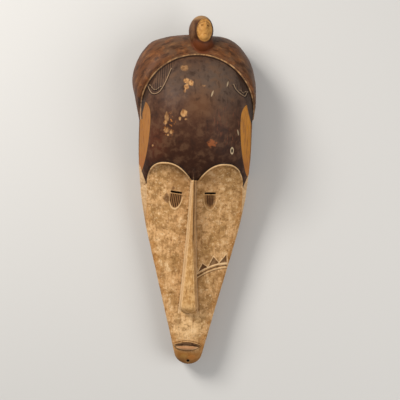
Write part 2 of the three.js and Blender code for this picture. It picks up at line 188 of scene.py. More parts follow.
# Cheek scarification on the right side: a course that climbs outwards, with three triangles on it.
CHEEK_COURSE = [(8.4, 143.6), (20, 151.5), (31, 156.4), (43, 159.8), (56, 162)]
CHEEK_GROOVE = 3.2
CHEEK_SECOND = 5.8
CHEEK_TRIANGLES = [
    ((11, 146), (26.5, 154.7), (18, 160.5)),
    ((27, 155.5), (43.7, 162), (35, 171.6)),
    ((44.5, 162.5), (56, 165), (55, 175.5)),
]

# The double arcs that hang from the hood's rim on each side of the forehead.
FANS = [
    [(-76, 431), (-70.5, 420.5), (-63, 417.4), (-54.5, 421.5), (-48, 432), (-43, 444), (-38.5, 457)],
    [(-72, 432), (-66.5, 425.2), (-60.5, 424.2), (-54, 428.5)],
    [(55.5, 436), (58.5, 429.5), (66, 422.8), (73.5, 419.2), (77, 421.5), (79, 427)],
    [(66.5, 428), (72, 423.8), (76, 427)],
]
FAN_PITCH = 3.4

# Chips through the dark skin of the forehead: place, half width, half height, and how bare they are.
CHIPS = [
    (-19.1, 459.6, 6.8, 4.8, 0.45), (-15.4, 439.3, 4.8, 4.2, 0.95), (-8.5, 435.8, 3.8, 5, 1.0),
    (-15, 429.6, 4.2, 4.8, 0.95), (-17.2, 423.5, 1.8, 3, 0.7), (-17.5, 388.8, 5.4, 5.8, 1.0),
    (-23.4, 381, 2.2, 3, 0.8), (-14.3, 380.5, 2, 1.6, 0.7), (-43.4, 383, 3.4, 7.5, 0.6),
    (-45.2, 375, 3, 3.4, 0.75), (-43.3, 363.7, 4, 4.6, 0.7), (-35.6, 360.9, 3, 3, 0.75),
    (-40.8, 356.5, 1.8, 1.6, 0.8), (11.2, 431.9, 3, 1.8, 0.35), (-64, 340.7, 1.8, 1.8, 0.6),
]
STAIN = (26, 345.5, 6.5, 5.5)

# Pale rubbed marks: a ring and a stroke near the right temple, and a streak on the crown.
RING_MARK = (57.1, 336.2, 2.4, 5.1)
STROKE_MARKS = [(65.4, 364.2, 1.2, 4.8, -0.25), (24.1, 420.3, 1.4, 5.5, 0.3), (46.9, 436.7, 1, 5, 0.2)]

# Rounds of evening out that tell the folds and arrises from the flat, and that soften what they tell.
FOLD_ROUNDS = 6
FOLD_SOFTENING = 2

# How many random values the fine carving draws on, and the large primes that scatter them over space.
LUMP_VALUES = 4096
LUMP_STRIDES = (73856093, 19349663, 83492791)

# The stage, in metres: where the camera and the lights stand, the size of each light, and the floor.
CAMERA_PLACE = (0.01524, -0.01193, 2.05589)
KEY_PLACE = (-1.1, 0.9, 1.3)
KEY_SIZE = 0.7
FILL_PLACE = (1.1, -0.3, 1.3)
FILL_SIZE = 1.2
FLOOR_REACH = 3
FLOOR_GAP = 0.0005


def lerp(a, b, t):
    """The value a share t of the way from a to b."""
    return a + (b - a) * t


def ease(value, start, end):
    """0 up to start and 1 from end, easing in and out between them."""
    t = np.clip((value - start) / (end - start), 0, 1)
    return t * t * (3 - 2 * t)


def crowded(start, end, count):
    """Stations from start to end, close together near start, for an end that is rounded."""
    return start + (end - start) * (1 - np.cos(np.linspace(0, math.pi / 2, count)))


def spline(points, shares):
    """Places on a smooth line through points, at shares of the way along it."""
    points = np.asarray(points, float)
    last = len(points) - 1
    along = np.clip(shares, 0, 1) * last
    index = np.minimum(along.astype(int), last - 1)
    t = (along - index)[:, None]
    before, start, end, after = (points[np.clip(index + k, 0, last)] for k in (-1, 0, 1, 2))
    leave, arrive = (end - before) / 2, (after - start) / 2
    cubic = 2 * start - 2 * end + leave + arrive
    square = -3 * start + 3 * end - 2 * leave - arrive
    return cubic * t**3 + square * t**2 + leave * t + start


def profile(heights):
    """A smooth height along y, through a few given heights."""
    fine = spline(heights, np.linspace(0, 1, 24 * len(heights)))
    return lambda y: np.interp(y, fine[:, 0], fine[:, 1])


def half_width(y):
    """Half the width of the outline at a height above the chin."""
    y = np.asarray(y, float)
    slant = math.atan(TAPER)
    chin = TAPER_HALF_WIDTH / (math.cos(slant) - TAPER * (1 - math.sin(slant)))
    straight = TAPER_HALF_WIDTH + TAPER * y
    bend = straight - TAPER * (y - BEND_START) ** 2 / (2 * (BEND_END - BEND_START))
    crown = TEMPLE_HALF_WIDTH * np.sqrt(np.maximum(0, 1 - ((y - CROWN_START) / CROWN_REACH) ** 2))
    stretches = [y < chin * (1 - math.sin(slant)), y < BEND_START, y <= BEND_END, y <= CROWN_START]
    widths = [np.sqrt(np.maximum(0, chin**2 - (chin - y) ** 2)), straight, bend, TEMPLE_HALF_WIDTH]
    return np.select(stretches, widths, crown)


panel_middle = profile([
    (0, 30), (5, 39), (14, 46.5), (30, 49.5), (60, 53), (150, 58), (220, 64), (275, 76), (PANEL_TOP, 97),
])
panel_fall = profile([(0, 5), (30, 5), (85, 10), (150, 14), (220, 18), (PANEL_TOP, 19)])
nose_ridge = profile([(NOSE_END, 71), (95, 75.5), (150, 79.5), (220, 87), (NOTCH, 98), (NOSE_ROOT, 105)])


def panel_height(x, y):
    """Height of the face panel, an arch that falls away to its edges."""
    across = np.minimum(1, np.abs(x) / np.maximum(half_width(y), 0.1))
    return panel_middle(y) - panel_fall(y) * across**2


def dome_share(y):
    """How high the forehead's middle stands at y, as a share of its full height."""
    reach = np.where(y > DOME_CENTRE, DOME_REACH_UP, DOME_REACH_DOWN)
    return np.sqrt(np.maximum(0, 1 - ((y - DOME_CENTRE) / reach) ** 2))


def dome_middle(y):
    """Height of the forehead along the midline."""
    return DOME_FOOT + (DOME_TOP - DOME_FOOT) * dome_share(y)


def wall_spring(y):
    """Height at which the forehead's arch springs from its upright walls."""
    return np.where(y > DOME_CENTRE, WALL_SPRING * dome_share(y), WALL_SPRING)


def dome_height(x, y):
    """Height of the forehead, a full rounded arch over two upright walls."""
    across = np.minimum(1, np.abs(x) / np.maximum(half_width(y), 0.1))
    arch = (1 - across**DOME_FULLNESS) ** (1 / DOME_FULLNESS)
    return wall_spring(y) + (dome_middle(y) - wall_spring(y)) * arch


def temple_cut_start(y):
    """How far out from the midline the flattened temple starts: straight, then swinging out on top."""
    up = np.maximum(0, y - TEMPLE_CUT_Y) / TEMPLE_CUT_REACH
    return TEMPLE_CUT_X + TEMPLE_CUT_SWING * up**TEMPLE_CUT_SWING_POWER


def temple_cut_edge(y, z):
    """How far out from the midline the flattened temple lies at a height."""
    return temple_cut_start(y) + (TEMPLE_CUT_Z - z) * TEMPLE_CUT_LEAN


def brow_height(x):
    """Height of the brow above the chin, from the notch over the lobe to the temple."""
    across = np.abs(x - HEART_X)
    inner = np.maximum(NOTCH, LOBE_TOP - LOBE_DROP * np.maximum(0, 1 - across / LOBE_X) ** LOBE_CURVE)
    out = np.clip((across - LOBE_X) / (HEART_HALF_WIDTH - LOBE_X), 0, 1)
    outer = HEART_SHOULDER + (LOBE_TOP - HEART_SHOULDER) * (1 - out**LOBE_CURVE) ** (1 / LOBE_CURVE)
    slope = HEART_SHOULDER - (across - HEART_HALF_WIDTH) * HEART_SLOPE / (SLOPE_END_X - HEART_HALF_WIDTH)
    return np.select([across <= LOBE_X, across <= HEART_HALF_WIDTH], [inner, outer], slope)


def shape(bm):
    """The finished bmesh as an object of the scene."""
    bmesh.ops.recalc_face_normals(bm, faces=bm.faces)
    mesh = bpy.data.meshes.new("work")
    bm.to_mesh(mesh)
    bm.free()
    obj = bpy.data.objects.new("work", mesh)
    bpy.context.scene.collection.objects.link(obj)
    return obj


def loft(rings):
    """A closed skin through rings of points, one ring a station, with a cap on each end."""
    rings = np.asarray(rings, float)
    stations, around = rings.shape[:2]
    bm = bmesh.new()
    bmesh.ops.create_grid(bm, x_segments=around, y_segments=stations - 1, size=1)
    for vert in bm.verts:
        column = round((vert.co.x + 1) / 2 * around) % around
        row = round((vert.co.y + 1) / 2 * (stations - 1))
        vert.co = rings[row, column]
    bmesh.ops.remove_doubles(bm, verts=bm.verts, dist=1e-4)
    bmesh.ops.holes_fill(bm, edges=[edge for edge in bm.edges if edge.is_boundary], sides=0)
    bmesh.ops.triangulate(bm, faces=[face for face in bm.faces if len(face.verts) > 4])
    return shape(bm)


def ball(middle, radii, turn=0, segments=64):
    """A ball stretched to three radii, turned about the y axis if asked, and set in place."""
    bm = bmesh.new()
    bmesh.ops.create_uvsphere(bm, u_segments=segments, v_segments=segments // 2, radius=1)
    turned = Matrix.Rotation(turn, 4, "Y") @ Matrix.Diagonal((*radii, 1))
    bmesh.ops.transform(bm, matrix=Matrix.Translation(middle) @ turned, verts=bm.verts)
    return shape(bm)


def baked(obj):
    """obj with its modifiers worked into its mesh."""
    graph = bpy.context.evaluated_depsgraph_get()
    mesh = bpy.data.meshes.new_from_object(obj.evaluated_get(graph))
    old = obj.data
    obj.modifiers.clear()
    obj.data = mesh
    bpy.data.meshes.remove(old)
    if not mesh.polygons:
        raise RuntimeError("a modifier left nothing of the shape")
    return obj


def combined(body, others, operation):
    """body with others joined to it, cut from it or kept in common with it."""
    for other in others:
        modifier = body.modifiers.new(operation, "BOOLEAN")
        modifier.operation = operation
        modifier.solver = "MANIFOLD"
        modifier.object = other
        baked(body)
        bpy.data.meshes.remove(other.data)
    return body


def joined(pieces):
    """Several pieces as one."""
    return combined(pieces[0], pieces[1:], "UNION")


def rod(course, radius):
    """A round rod along a course of points."""
    course = np.asarray(course, float)
    along = np.gradient(course, axis=0)
    aside = np.cross(along, (0, 0, 1))
    aside /= np.linalg.norm(aside, axis=1)[:, None]
    up = np.cross(aside, along)
    up /= np.linalg.norm(up, axis=1)[:, None]
    turns = np.linspace(0, 2 * math.pi, 12, endpoint=False)
    rings = [course + radius * (math.cos(a) * aside + math.sin(a) * up) for a in turns]
    return loft(np.stack(rings, axis=1))


def arch(half, fullness, count, height_at):
    """A rounded arch between two sides, full at the shoulders, as points from left to right."""
    points = []
    for angle in np.linspace(math.pi, 0, count):
        across = math.cos(angle)
        x = half * math.copysign(abs(across) ** (2 / fullness), across)
        points.append((x, height_at(x, max(0, math.sin(angle)) ** (2 / fullness))))
    return points


def heart_prism(outwards=0.0):
    """The heart-shaped panel in plan, run on past the chin and the sides, from below to above the mask."""
    low, high = -5, 220
    lobe = []
    for angle in np.linspace(0, math.pi / 2, 24):
        across = LOBE_X + (HEART_HALF_WIDTH - LOBE_X) * math.cos(angle)
        top = brow_height(HEART_X + min(across, HEART_HALF_WIDTH - 1e-6))
        lobe.append((across + outwards * math.cos(angle), float(top) + outwards))
    inner = np.linspace(LOBE_X, -LOBE_X, 80)[1:-1]
    notched = [(x, float(brow_height(HEART_X + x)) + outwards) for x in inner]
    end = HEART_SHOULDER - HEART_SLOPE + outwards
    outline = [(-SLOPE_END_X, -SLOPE_END_X), (SLOPE_END_X, -SLOPE_END_X), (SLOPE_END_X, end)]
    outline += [(HEART_X + x, y) for x, y in lobe + notched]
    outline += [(HEART_X - x, y) for x, y in reversed(lobe)]
    outline.append((-SLOPE_END_X, end))
    bm = bmesh.new()
    floor = bm.faces.new([bm.verts.new((x, y, low)) for x, y in outline])
    raised = bmesh.ops.extrude_face_region(bm, geom=[floor])["geom"]
    top = [item for item in raised if isinstance(item, bmesh.types.BMVert)]
    bmesh.ops.translate(bm, verts=top, vec=(0, 0, high - low))
    bmesh.ops.triangulate(bm, faces=bm.faces)
    return shape(bm)


def front_of_panel():
    """The room in front of the panel, down to just under its surface."""
    side, high, under = 100, 200, 2
    rings = []
    for y in np.linspace(HEART_SHOULDER - 53, PANEL_TOP + 8, 40):
        ring = [(x, y, panel_height(x, y) - under) for x in np.linspace(-side, side, 80)]
        rings.append(ring + [(side, y, high), (-side, y, high)])
    return combined(loft(rings), [heart_prism()], "INTERSECT")


def lower_face():
    """Upright walls, a narrow bevel, then the gently arched panel, with its top cut to the heart."""
    chin_end, foot_inset = 24, 0.5
    rings = []
    for y in [*crowded(0.02, chin_end, 30), *np.linspace(chin_end, PANEL_TOP, 150)[1:]]:
        tucked = TUCK * ease(y, HEART_SHOULDER - 2 * FOOT_HEIGHT, HEART_SHOULDER)
        wide = max(0.6, half_width(y) - tucked)
        edge = max(0.3, wide - BEVEL_WIDTH)
        foot = wide - foot_inset
        shoulder = panel_height(edge, y) - BEVEL_DROP
        ring = [(x, y, panel_height(x, y)) for x in np.linspace(-edge, edge, 60)]
        ring += [(wide, y, shoulder), (wide, y, FOOT_HEIGHT), (foot, y, 0)]
        ring += [(-foot, y, 0), (-wide, y, FOOT_HEIGHT), (-wide, y, shoulder)]
        rings.append(ring)
    return combined(loft(rings), [heart_prism(TUCK)], "INTERSECT")


def temple_cut(side):
    """What is taken off one temple: a hollow-ground cut, a lens in plan."""
    low, high, far = WALL_SPRING - 10, DOME_TOP + 16, 140
    rings = []
    for y in TEMPLE_CUT_Y + np.linspace(-TEMPLE_CUT_REACH, TEMPLE_CUT_REACH, 60):
        near = [(side * temple_cut_edge(y, z), y, z) for z in (low, high)]
        rings.append(near + [(side * far, y, high), (side * far, y, low)])
    return loft(rings)


def forehead():
    """The bulging forehead, with its foot cut back to the heart and its temples flattened."""
    rings = []
    for y in [*np.linspace(DOME_FROM, DOME_TURN, 70), *crowded(DOME_TO, DOME_TURN, 60)[::-1][1:]]:
        wide = float(half_width(y))
        foot = min(FOOT_HEIGHT, float(wall_spring(y)) / 2)
        ring = [(x, y, z) for x, z in arch(wide, DOME_FULLNESS, 91, lambda x, up: dome_height(x, y))]
        ring += [(wide, y, foot), (wide - RIM_INSET, y, 0), (-wide + RIM_INSET, y, 0), (-wide, y, foot)]
        rings.append(ring)
    return combined(loft(rings), [front_of_panel(), temple_cut(1), temple_cut(-1)], "DIFFERENCE")


def hood_slice(edge):
    """A slice of the hood from its rim on the forehead, over its shoulder and under to the flat back."""
    reach = max(math.hypot(*edge), HOOD_RIM_RADIUS + HOOD_LEAST_OVERHANG)
    aim = edge / math.hypot(*edge)
    rise = float(ease(aim[1], *HOOD_CLIMB))
    seat_x, seat_y = HOOD_X + HOOD_RIM_RADIUS * aim[0], HOOD_Y + HOOD_RIM_RADIUS * aim[1]
    seat_x = min(abs(seat_x), 0.975 * float(half_width(seat_y)))
    rim_z = lerp(HOOD_END_Z, float(dome_height(seat_x, seat_y)) + HOOD_STEP, rise)
    overhang = reach - HOOD_RIM_RADIUS
    shoulder = HOOD_RIM_RADIUS + min(HOOD_CREST, 0.4 * overhang)
    widest = min(HOOD_WIDEST_Z, 0.7 * rim_z)

    def out(radius, z):
        return HOOD_X + radius * aim[0], HOOD_Y + radius * aim[1], z

    ring = [out(HOOD_RIM_RADIUS - HOOD_ROOT, 0), out(reach - min(HOOD_FOOT_INSET, 0.5 * overhang), 0)]
    ring.append(out(reach - min(HOOD_WAIST_INSET, 0.2 * overhang), 0.45 * widest))
    for angle in np.linspace(0, math.pi / 2, 24):
        radius = lerp(shoulder, reach, math.cos(angle))
        ring.append(out(radius, lerp(widest, rim_z, math.sin(angle))))
    ring += [out(HOOD_RIM_RADIUS, rim_z - 0.8), out(HOOD_RIM_RADIUS, rim_z - 9 * rise - 1)]
    ring.append(out(HOOD_RIM_RADIUS - HOOD_ROOT, 0.6 * rim_z))
    return ring


def hood():
    """The lobed hood, slice by slice round the forehead."""
    return loft([hood_slice(edge) for edge in spline(HOOD_OUTLINE, np.linspace(0, 1, 200))])


def nose_widths(down):
    """Half the width of the nose's front and of its base, a share of the way down it."""
    return 1.2 + 10.6 * down**1.9, 4 + 11.4 * down**1.5


def nose():
    """A long flat-fronted ridge that widens from the notch down to a rounded end."""
    straight = NOSE_END + NOSE_ROUNDING
    rings = []
    for y in [*crowded(NOSE_END, straight, 16), *np.linspace(straight, NOSE_ROOT, 90)[1:]]:
        down = (NOSE_ROOT - y) / (NOSE_ROOT - NOSE_END)
        rounding = math.sqrt(1 - np.clip((straight - y) / NOSE_ROUNDING, 0, 0.97) ** 2)
        front, base = (width * rounding for width in nose_widths(down))
        low = panel_middle(y) - NOSE_SUNK
        knee = low + NOSE_UPRIGHT
        top = lerp(low, nose_ridge(y), 0.62 + 0.38 * rounding)
        flank = [
            (base, low),
            (base, knee),
            (lerp(base, front, 0.32), lerp(knee, top, 0.5)),
            (front, top - 1.3),
            (0.5 * front, top),
        ]
        lean = NOSE_LEAN * down
        ring = [(x - lean, y, z) for x, z in flank] + [(-x - lean, y, z) for x, z in reversed(flank)]
        rings.append(ring)
    return loft(rings)


def mouth():
    """A thin arched upper lip over a lens-shaped lower lip."""
    upper = ball((MOUTH_X, MOUTH_Y, LIP_RISE), UPPER_LIP)
    lower = ball((MOUTH_X, MOUTH_Y - LOWER_LIP_DROP, LIP_RISE), LOWER_LIP)
    return joined([upper, lower])


def mouth_slit():
    """The bowed slit between the lips, as the rod that is cut from them."""
    half = 0.9 * MOUTH_HALF_WIDTH
    bow, dip, proud = 0.004, 0.016, 9.5
    across = np.linspace(-half, half, 30)
    course = [(MOUTH_X + x, MOUTH_Y - bow * x * x, LIP_RISE + proud - dip * x * x) for x in across]
    return rod(course, MOUTH_SLIT_RADIUS)


def eye_slit(side):
    """The slit that goes right through the mask above one half-moon."""
    bm = bmesh.new()
    bmesh.ops.create_cube(bm, size=1)
    turned = Matrix.Rotation(EYE_TILT[side], 4, "Z")
    turned @= Matrix.Diagonal((EYE_SLIT_WIDTH, EYE_SLIT_HEIGHT, 90, 1))
    place = Matrix.Translation((side * EYE_X, EYE_SLIT_Y, 60))
    bmesh.ops.transform(bm, matrix=place @ turned, verts=bm.verts)
    return shape(bm)


def crest():
    """The small head on the crown: hood, oval face with brow, nose and eye hollows, chin and neck."""
    def piece(x, y, z, *radii):
        """A ball by its place from the head's middle, and its radii."""
        middle = Matrix.Rotation(CREST_TURN, 3, "Y") @ Vector((x, y, z)) + CREST_PLACE
        return ball(middle, radii, CREST_TURN)

    opening = piece(CREST_FACE_X, 0, 23, 13.4, 18.6, 12)
    hooded = combined(piece(0, 0, 0, *CREST_HOOD), [opening], "DIFFERENCE")
    face = [piece(CREST_FACE_X, -0.4, 11.5, 12.2, 16.8, 11.5), piece(CREST_FACE_X, -10, 14.5, 8, 7.5, 9.5)]
    eyes = [piece(CREST_FACE_X + side * CREST_EYE_X, CREST_EYE_Y, 22, 2.8, 1.8, 3) for side in (-1, 1)]
    head = combined(joined([hooded, *face]), eyes, "DIFFERENCE")
    return joined([head, piece(CREST_FACE_X, 5.6, 22, 2, 6.5, 4.4), piece(*CREST_NECK_AT, *CREST_NECK)])


def hollow_section(y):
    """Half the width of the hollow at a height above the chin, and how high it stands."""
    start = np.sqrt(np.clip((y - CHIN_BLOCK + 1) / HOLLOW_TAIL, 0, 1))
    past = np.maximum(0, y - CROWN_START) / (CROWN_REACH - WALL + 1)
    closing = np.maximum(0.12, np.sqrt(np.maximum(0, 1 - past**2)))
    half = (np.minimum(half_width(y), TEMPLE_HALF_WIDTH) - WALL) * np.maximum(0.35, start)
    wide = np.where(y > CROWN_START, (TEMPLE_HALF_WIDTH - WALL) * closing, half)
    into_dome = ease(y, HOLLOW_RISE_START, HOLLOW_RISE_END)
    roof = lerp(panel_middle(y) - WALL - 1, dome_middle(y) - WALL - 2, into_dome)
    return wide, np.maximum(6, roof * lerp(0.3, 1, start))


def hollow():
    """The space hollowed from the back, a wall's thickness inside the face and the forehead."""
    tail, below = 70, -6
    stations = [*crowded(CHIN_BLOCK, tail, 20), *np.linspace(tail, DOME_TURN, 60)[1:]]
    stations += [*crowded(HOLLOW_TOP, DOME_TURN, 30)[::-1][1:]]
    rings = []
    for y in stations:
        wide, high = (float(value) for value in hollow_section(y))
        ring = [(x, y, z) for x, z in arch(wide, HOLLOW_FULLNESS, 60, lambda x, up: high * up)]
        rings.append(ring + [(wide, y, below), (-wide, y, below)])
    return loft(rings)


def chin_hole():
    """The drill that goes through the chin from front to back."""
    bm = bmesh.new()
    radius = CHIN_HOLE_RADIUS
    bmesh.ops.create_cone(bm, cap_ends=True, segments=24, radius1=radius, radius2=radius, depth=120)
    bmesh.ops.translate(bm, verts=bm.verts, vec=(0, CHIN_HOLE_Y, 40))
    return shape(bm)


def brow_bead(side):
    """The thin raised bead that edges the heart along one half of the brow."""
    sunk = 1.2
    x = HEART_X + side * np.linspace(2, HEART_HALF_WIDTH - 6, 60)
    y = brow_height(x) - sunk
    z = np.maximum(panel_height(x, y), dome_height(x, y + 1.5) - sunk)
    return rod(np.stack([x, y, z], axis=1), BEAD_RADIUS)


def block():
    """The whole mask roughed out, with its edges still sharp."""
    outside = joined([lower_face(), forehead(), hood(), crest(), brow_bead(-1), brow_bead(1), nose()])
    body = joined([combined(outside, [hollow()], "DIFFERENCE"), mouth()])
    return combined(body, [chin_hole(), mouth_slit(), eye_slit(-1), eye_slit(1)], "DIFFERENCE")


def midline():
    """Where the midline lies in the frame: the hood's left lobe reaches the frame's lowest x."""
    return LOW.x / MM - HOOD_X - spline(HOOD_OUTLINE, np.linspace(0, 1, 49))[:, 0].min()


ORIGIN = np.array([midline(), LOW.y / MM, LOW.z / MM])


class Surface:
    """The mask's skin as arrays: places, normals and the edges between them."""

    def __init__(self, mesh):
        self.mesh = mesh
        self.places = np.empty(3 * len(mesh.vertices))
        mesh.vertices.foreach_get("co", self.places)
        self.places = self.places.reshape(-1, 3)
        self.edges = np.empty(2 * len(mesh.edges), int)
        mesh.edges.foreach_get("vertices", self.edges)
        self.edges = self.edges.reshape(-1, 2)
        self.degree = np.bincount(self.edges.ravel(), minlength=len(self.places))[:, None]

    def normals(self):
        """The way out of the skin at each place."""
        found = np.empty(3 * len(self.places))
        self.mesh.vertex_normals.foreach_get("vector", found)
        return found.reshape(-1, 3)

    def average(self, values):
        """At each place, the average of values over its neighbours."""
        a, b = self.edges.T
        total = np.empty_like(values)
        for column in range(values.shape[1]):
            one = values[:, column]
            total[:, column] = np.bincount(a, one[b], len(one)) + np.bincount(b, one[a], len(one))
        return total / np.maximum(self.degree, 1)

    def smooth(self, rounds):
        """Evens the skin out without shrinking it: each round draws the places in and lets them out."""
        for step in (0.55, -0.58) * rounds:
            self.places += step * (self.average(self.places) - self.places)
        self.write()

    def write(self):
        """Puts the places back into the mesh."""
        self.mesh.vertices.foreach_set("co", self.places.ravel())
        self.mesh.update()


def lumps(places, size, seed):
    """Smooth random values from -1 to 1 that change over about size, which may differ by direction."""
    table = np.random.default_rng(seed).uniform(-1, 1, LUMP_VALUES)
    scaled = places / np.asarray(size, float)
    cell = np.floor(scaled).astype(np.int64)
    t = scaled - cell
    t = t * t * (3 - 2 * t)
    total = np.zeros(len(places))
    for corner in itertools.product((0, 1), repeat=3):
        key = (cell + corner) @ LUMP_STRIDES % LUMP_VALUES
        total += np.prod(np.where(corner, t, 1 - t), axis=1) * table[key]
    return total


def bump(distance, width):
    """1 on a line and 0 from width away, rounded between."""
    return np.clip(1 - (distance / width) ** 2, 0, 1) ** 2


def beside(x, y, course, samples=60):
    """Signed distance to a smooth course, positive on its left, and how far along it lies, 0 to 1."""
    line = spline(course, np.linspace(0, 1, samples))
    best = np.full(len(x), 1e9)
    signed = np.zeros(len(x))
    along = np.zeros(len(x))
    for k, (a, b) in enumerate(zip(line[:-1], line[1:])):
        step = b - a
        dx, dy = x - a[0], y - a[1]
        share = np.clip((dx * step[0] + dy * step[1]) / (step @ step), 0, 1)
        far = np.hypot(dx - share * step[0], dy - share * step[1])
        nearer = far < best
        side = np.sign(step[0] * dy - step[1] * dx)
        best = np.where(nearer, far, best)
        signed = np.where(nearer, side * far, signed)
        along = np.where(nearer, (k + share) / (samples - 1), along)
    return signed, along


def inside_triangle(x, y, corners):
    """Distance inside a triangle from its nearest side, below 0 outside."""
    depth = np.full(len(x), 1e9)
    middle = np.mean(corners, axis=0)
    for a, b in zip(corners, corners[1:] + corners[:1]):
        across = np.array([a[1] - b[1], b[0] - a[0]]) / math.dist(a, b)
        if across @ (middle - a) < 0:
            across = -across
        depth = np.minimum(depth, across[0] * (x - a[0]) + across[1] * (y - a[1]))
    return depth


def brow_outline():
    """The heart's edge from the left temple over both lobes to the right temple."""
    turn = np.linspace(0, math.pi / 2, 20)
    outer = LOBE_X + (HEART_HALF_WIDTH - LOBE_X) * np.cos(turn)
    right = np.concatenate([outer, np.linspace(LOBE_X, 0, 30)[1:]])
    x = HEART_X + np.concatenate([[-96, -85], -right, right[::-1][1:], [85, 96]])
    return np.stack([x, brow_height(x)], axis=1)


def moon_place(x, y, side):
    """How far across and down one eye's tilted half-moon a place lies, from the middle of its top."""
    dx, dy = x - side * EYE_X, y - MOON_TOP
    turn = EYE_TILT[side]
    across = dx * math.cos(turn) + dy * math.sin(turn)
    down = dx * math.sin(turn) - dy * math.cos(turn)
    return across, down


def beside_crack(x, y):
    """How far to the right of the nose's leaning crack a place lies."""
    return x - CRACK_X + (y - CRACK_Y) * CRACK_LEAN


def in_hollow(x, y, z):
    """1 on the skin of the hollow and 0 on the rest."""
    wide, high = hollow_section(y)
    wide = np.maximum(wide, 1)
    reach = (np.abs(x) / wide) ** HOLLOW_FULLNESS + (np.maximum(z, 0) / high) ** HOLLOW_FULLNESS
    along = ease(y, CHIN_BLOCK - 3, CHIN_BLOCK) * ease(-y, -HOLLOW_TOP - 3, -HOLLOW_TOP)
    return along * ease(-reach, -1.2, -1.08)


def brow_distance(x, y):
    """Signed distance to the brow, above 0 on the forehead's side, no further than 20."""
    distance = np.where(y > LOBE_TOP, 20.0, -20.0)
    near = (y > HEART_SHOULDER - 35) & (y < LOBE_TOP + 20)
    found, _ = beside(x[near], y[near], brow_outline(), 160)
    distance[near] = np.clip(found, -20, 20)
    return distance


def crest_reach(places):
    """How far out each place lies from the small head's middle, 1 on its skin."""
    turned = np.array(Matrix.Rotation(-CREST_TURN, 3, "Y"))
    local = (places - np.array(CREST_PLACE)) @ turned.T
    head = np.linalg.norm(local / CREST_HOOD, axis=1)
    neck = np.linalg.norm((local - CREST_NECK_AT) / CREST_NECK, axis=1)
    return np.minimum(head, neck)


def on_forehead(x, y):
    """True inside the hood's rim, and everywhere below it."""
    return (np.hypot(x - HOOD_X, y - HOOD_Y) < HOOD_RIM_RADIUS - 0.1) | (y < HOOD_Y - 10)


def temple_flat(x, y):
    """How far the forehead's arch would stand above the flattened temple, above 0 on the flat."""
    return dome_height(x, y) - (TEMPLE_CUT_Z - (np.abs(x) - temple_cut_start(y)) / TEMPLE_CUT_LEAN)


def fine_carving(places, normals):
    """How far each place of the skin is raised or sunk, in millimetres, by the fine carving."""
    x, y, z = places.T
    hollow_skin = in_hollow(x, y, z)
    front = ease(normals[:, 2], 0.05, 0.35) * (1 - hollow_skin)
    brow = brow_distance(x, y)
    face = ease(-brow, 0.5, 3) * (y < PANEL_TOP)
    dome = ease(brow, 0.5, 3) * on_forehead(x, y)
    flat = ease(temple_flat(x, y), -0.2, 0.8) * dome
    raised = 0.3 * lumps(places, 26, 1) + 0.14 * lumps(places, 7, 2) + 0.05 * lumps(places, 2.6, 3)
    raised += face * front * (0.16 * lumps(places, 4.2, 4) - 0.3 * ease(lumps(places, 3.4, 5), 0.45, 0.8))
    handled = 0.3 * lumps(places, (10, 16, 10), 6) + 0.12 * lumps(places, 3, 7)
    raised += dome * (1 - flat) * front * handled
    raised *= 1 - 0.75 * flat
    raised += flat * (0.11 * lumps(places, (1.5, 24, 3), 8) - 0.25 * bump(temple_flat(x, y) - 0.2, 0.9))
    raised -= front * 0.75 * bump(brow - 1.9, 1.4) * (np.abs(x) < HEART_HALF_WIDTH + 2)
    raised += front * (eyes_relief(x, y) + cheek_relief(x, y) + fans_relief(x, y) + mouth_relief(x, y))
    raised += front * (z > panel_middle(y) + 6) * crack_relief(x, y)
    raised += front * dome * chips_relief(x, y, lumps(places, 2.6, 9))
    gouges = np.abs(lumps(places, (7, 26, 7), 10)) + 0.6 * np.abs(lumps(places, (4, 15, 4), 11))
    raised += hollow_skin * (0.9 - 1.5 * gouges)
    return raised


def chips_relief(x, y, ragged):
    """The chips through the forehead's skin, with ragged edges."""
    raised = np.zeros(len(x))
    for middle_x, middle_y, half_width, half_height, bare in CHIPS:
        reach = np.hypot((x - middle_x) / half_width, (y - middle_y) / half_height)
        raised -= 0.5 * bare * ease(1 - reach + 0.35 * ragged, 0, 0.25)
    return raised


def crack_relief(x, y):
    """The crack down the upper half of the nose."""
    return -0.8 * bump(beside_crack(x, y), 0.8) * ease(y, 186, 200) * ease(-y, -291, -284)


def mouth_relief(x, y):
    """The incised line round the lips."""
    lip = np.hypot((x - MOUTH_X) / (MOUTH_HALF_WIDTH + 0.8), (y - MOUTH_Y + 1.6) / 7.6)
    return -0.5 * bump(lip - 1, 0.13) * (y < 60)


def eyes_relief(x, y):
    """The sunk half-moons with their lines, inside a low rim."""
    raised = np.zeros(len(x))
    for side in (-1, 1):
        near = (np.abs(x - side * EYE_X) < 16) & (np.abs(y - MOON_TOP + 8) < 22)
        across, down = moon_place(x[near], y[near], side)
        reach = np.hypot(across / MOON_HALF_WIDTH, np.maximum(down, 0) / MOON_HEIGHT)
        depth = np.minimum((1 - reach) * MOON_HALF_WIDTH, down)
        lines = 0.5 + 0.5 * np.cos(2 * math.pi * across / MOON_PITCH)
        rim = bump(depth + 1.3, 1.4) * ease(MOON_TOP - y[near], 3, 7)
        raised[near] += 0.55 * rim - ease(depth, -0.3, 0.8) * (MOON_DEPTH - lines)
    return raised


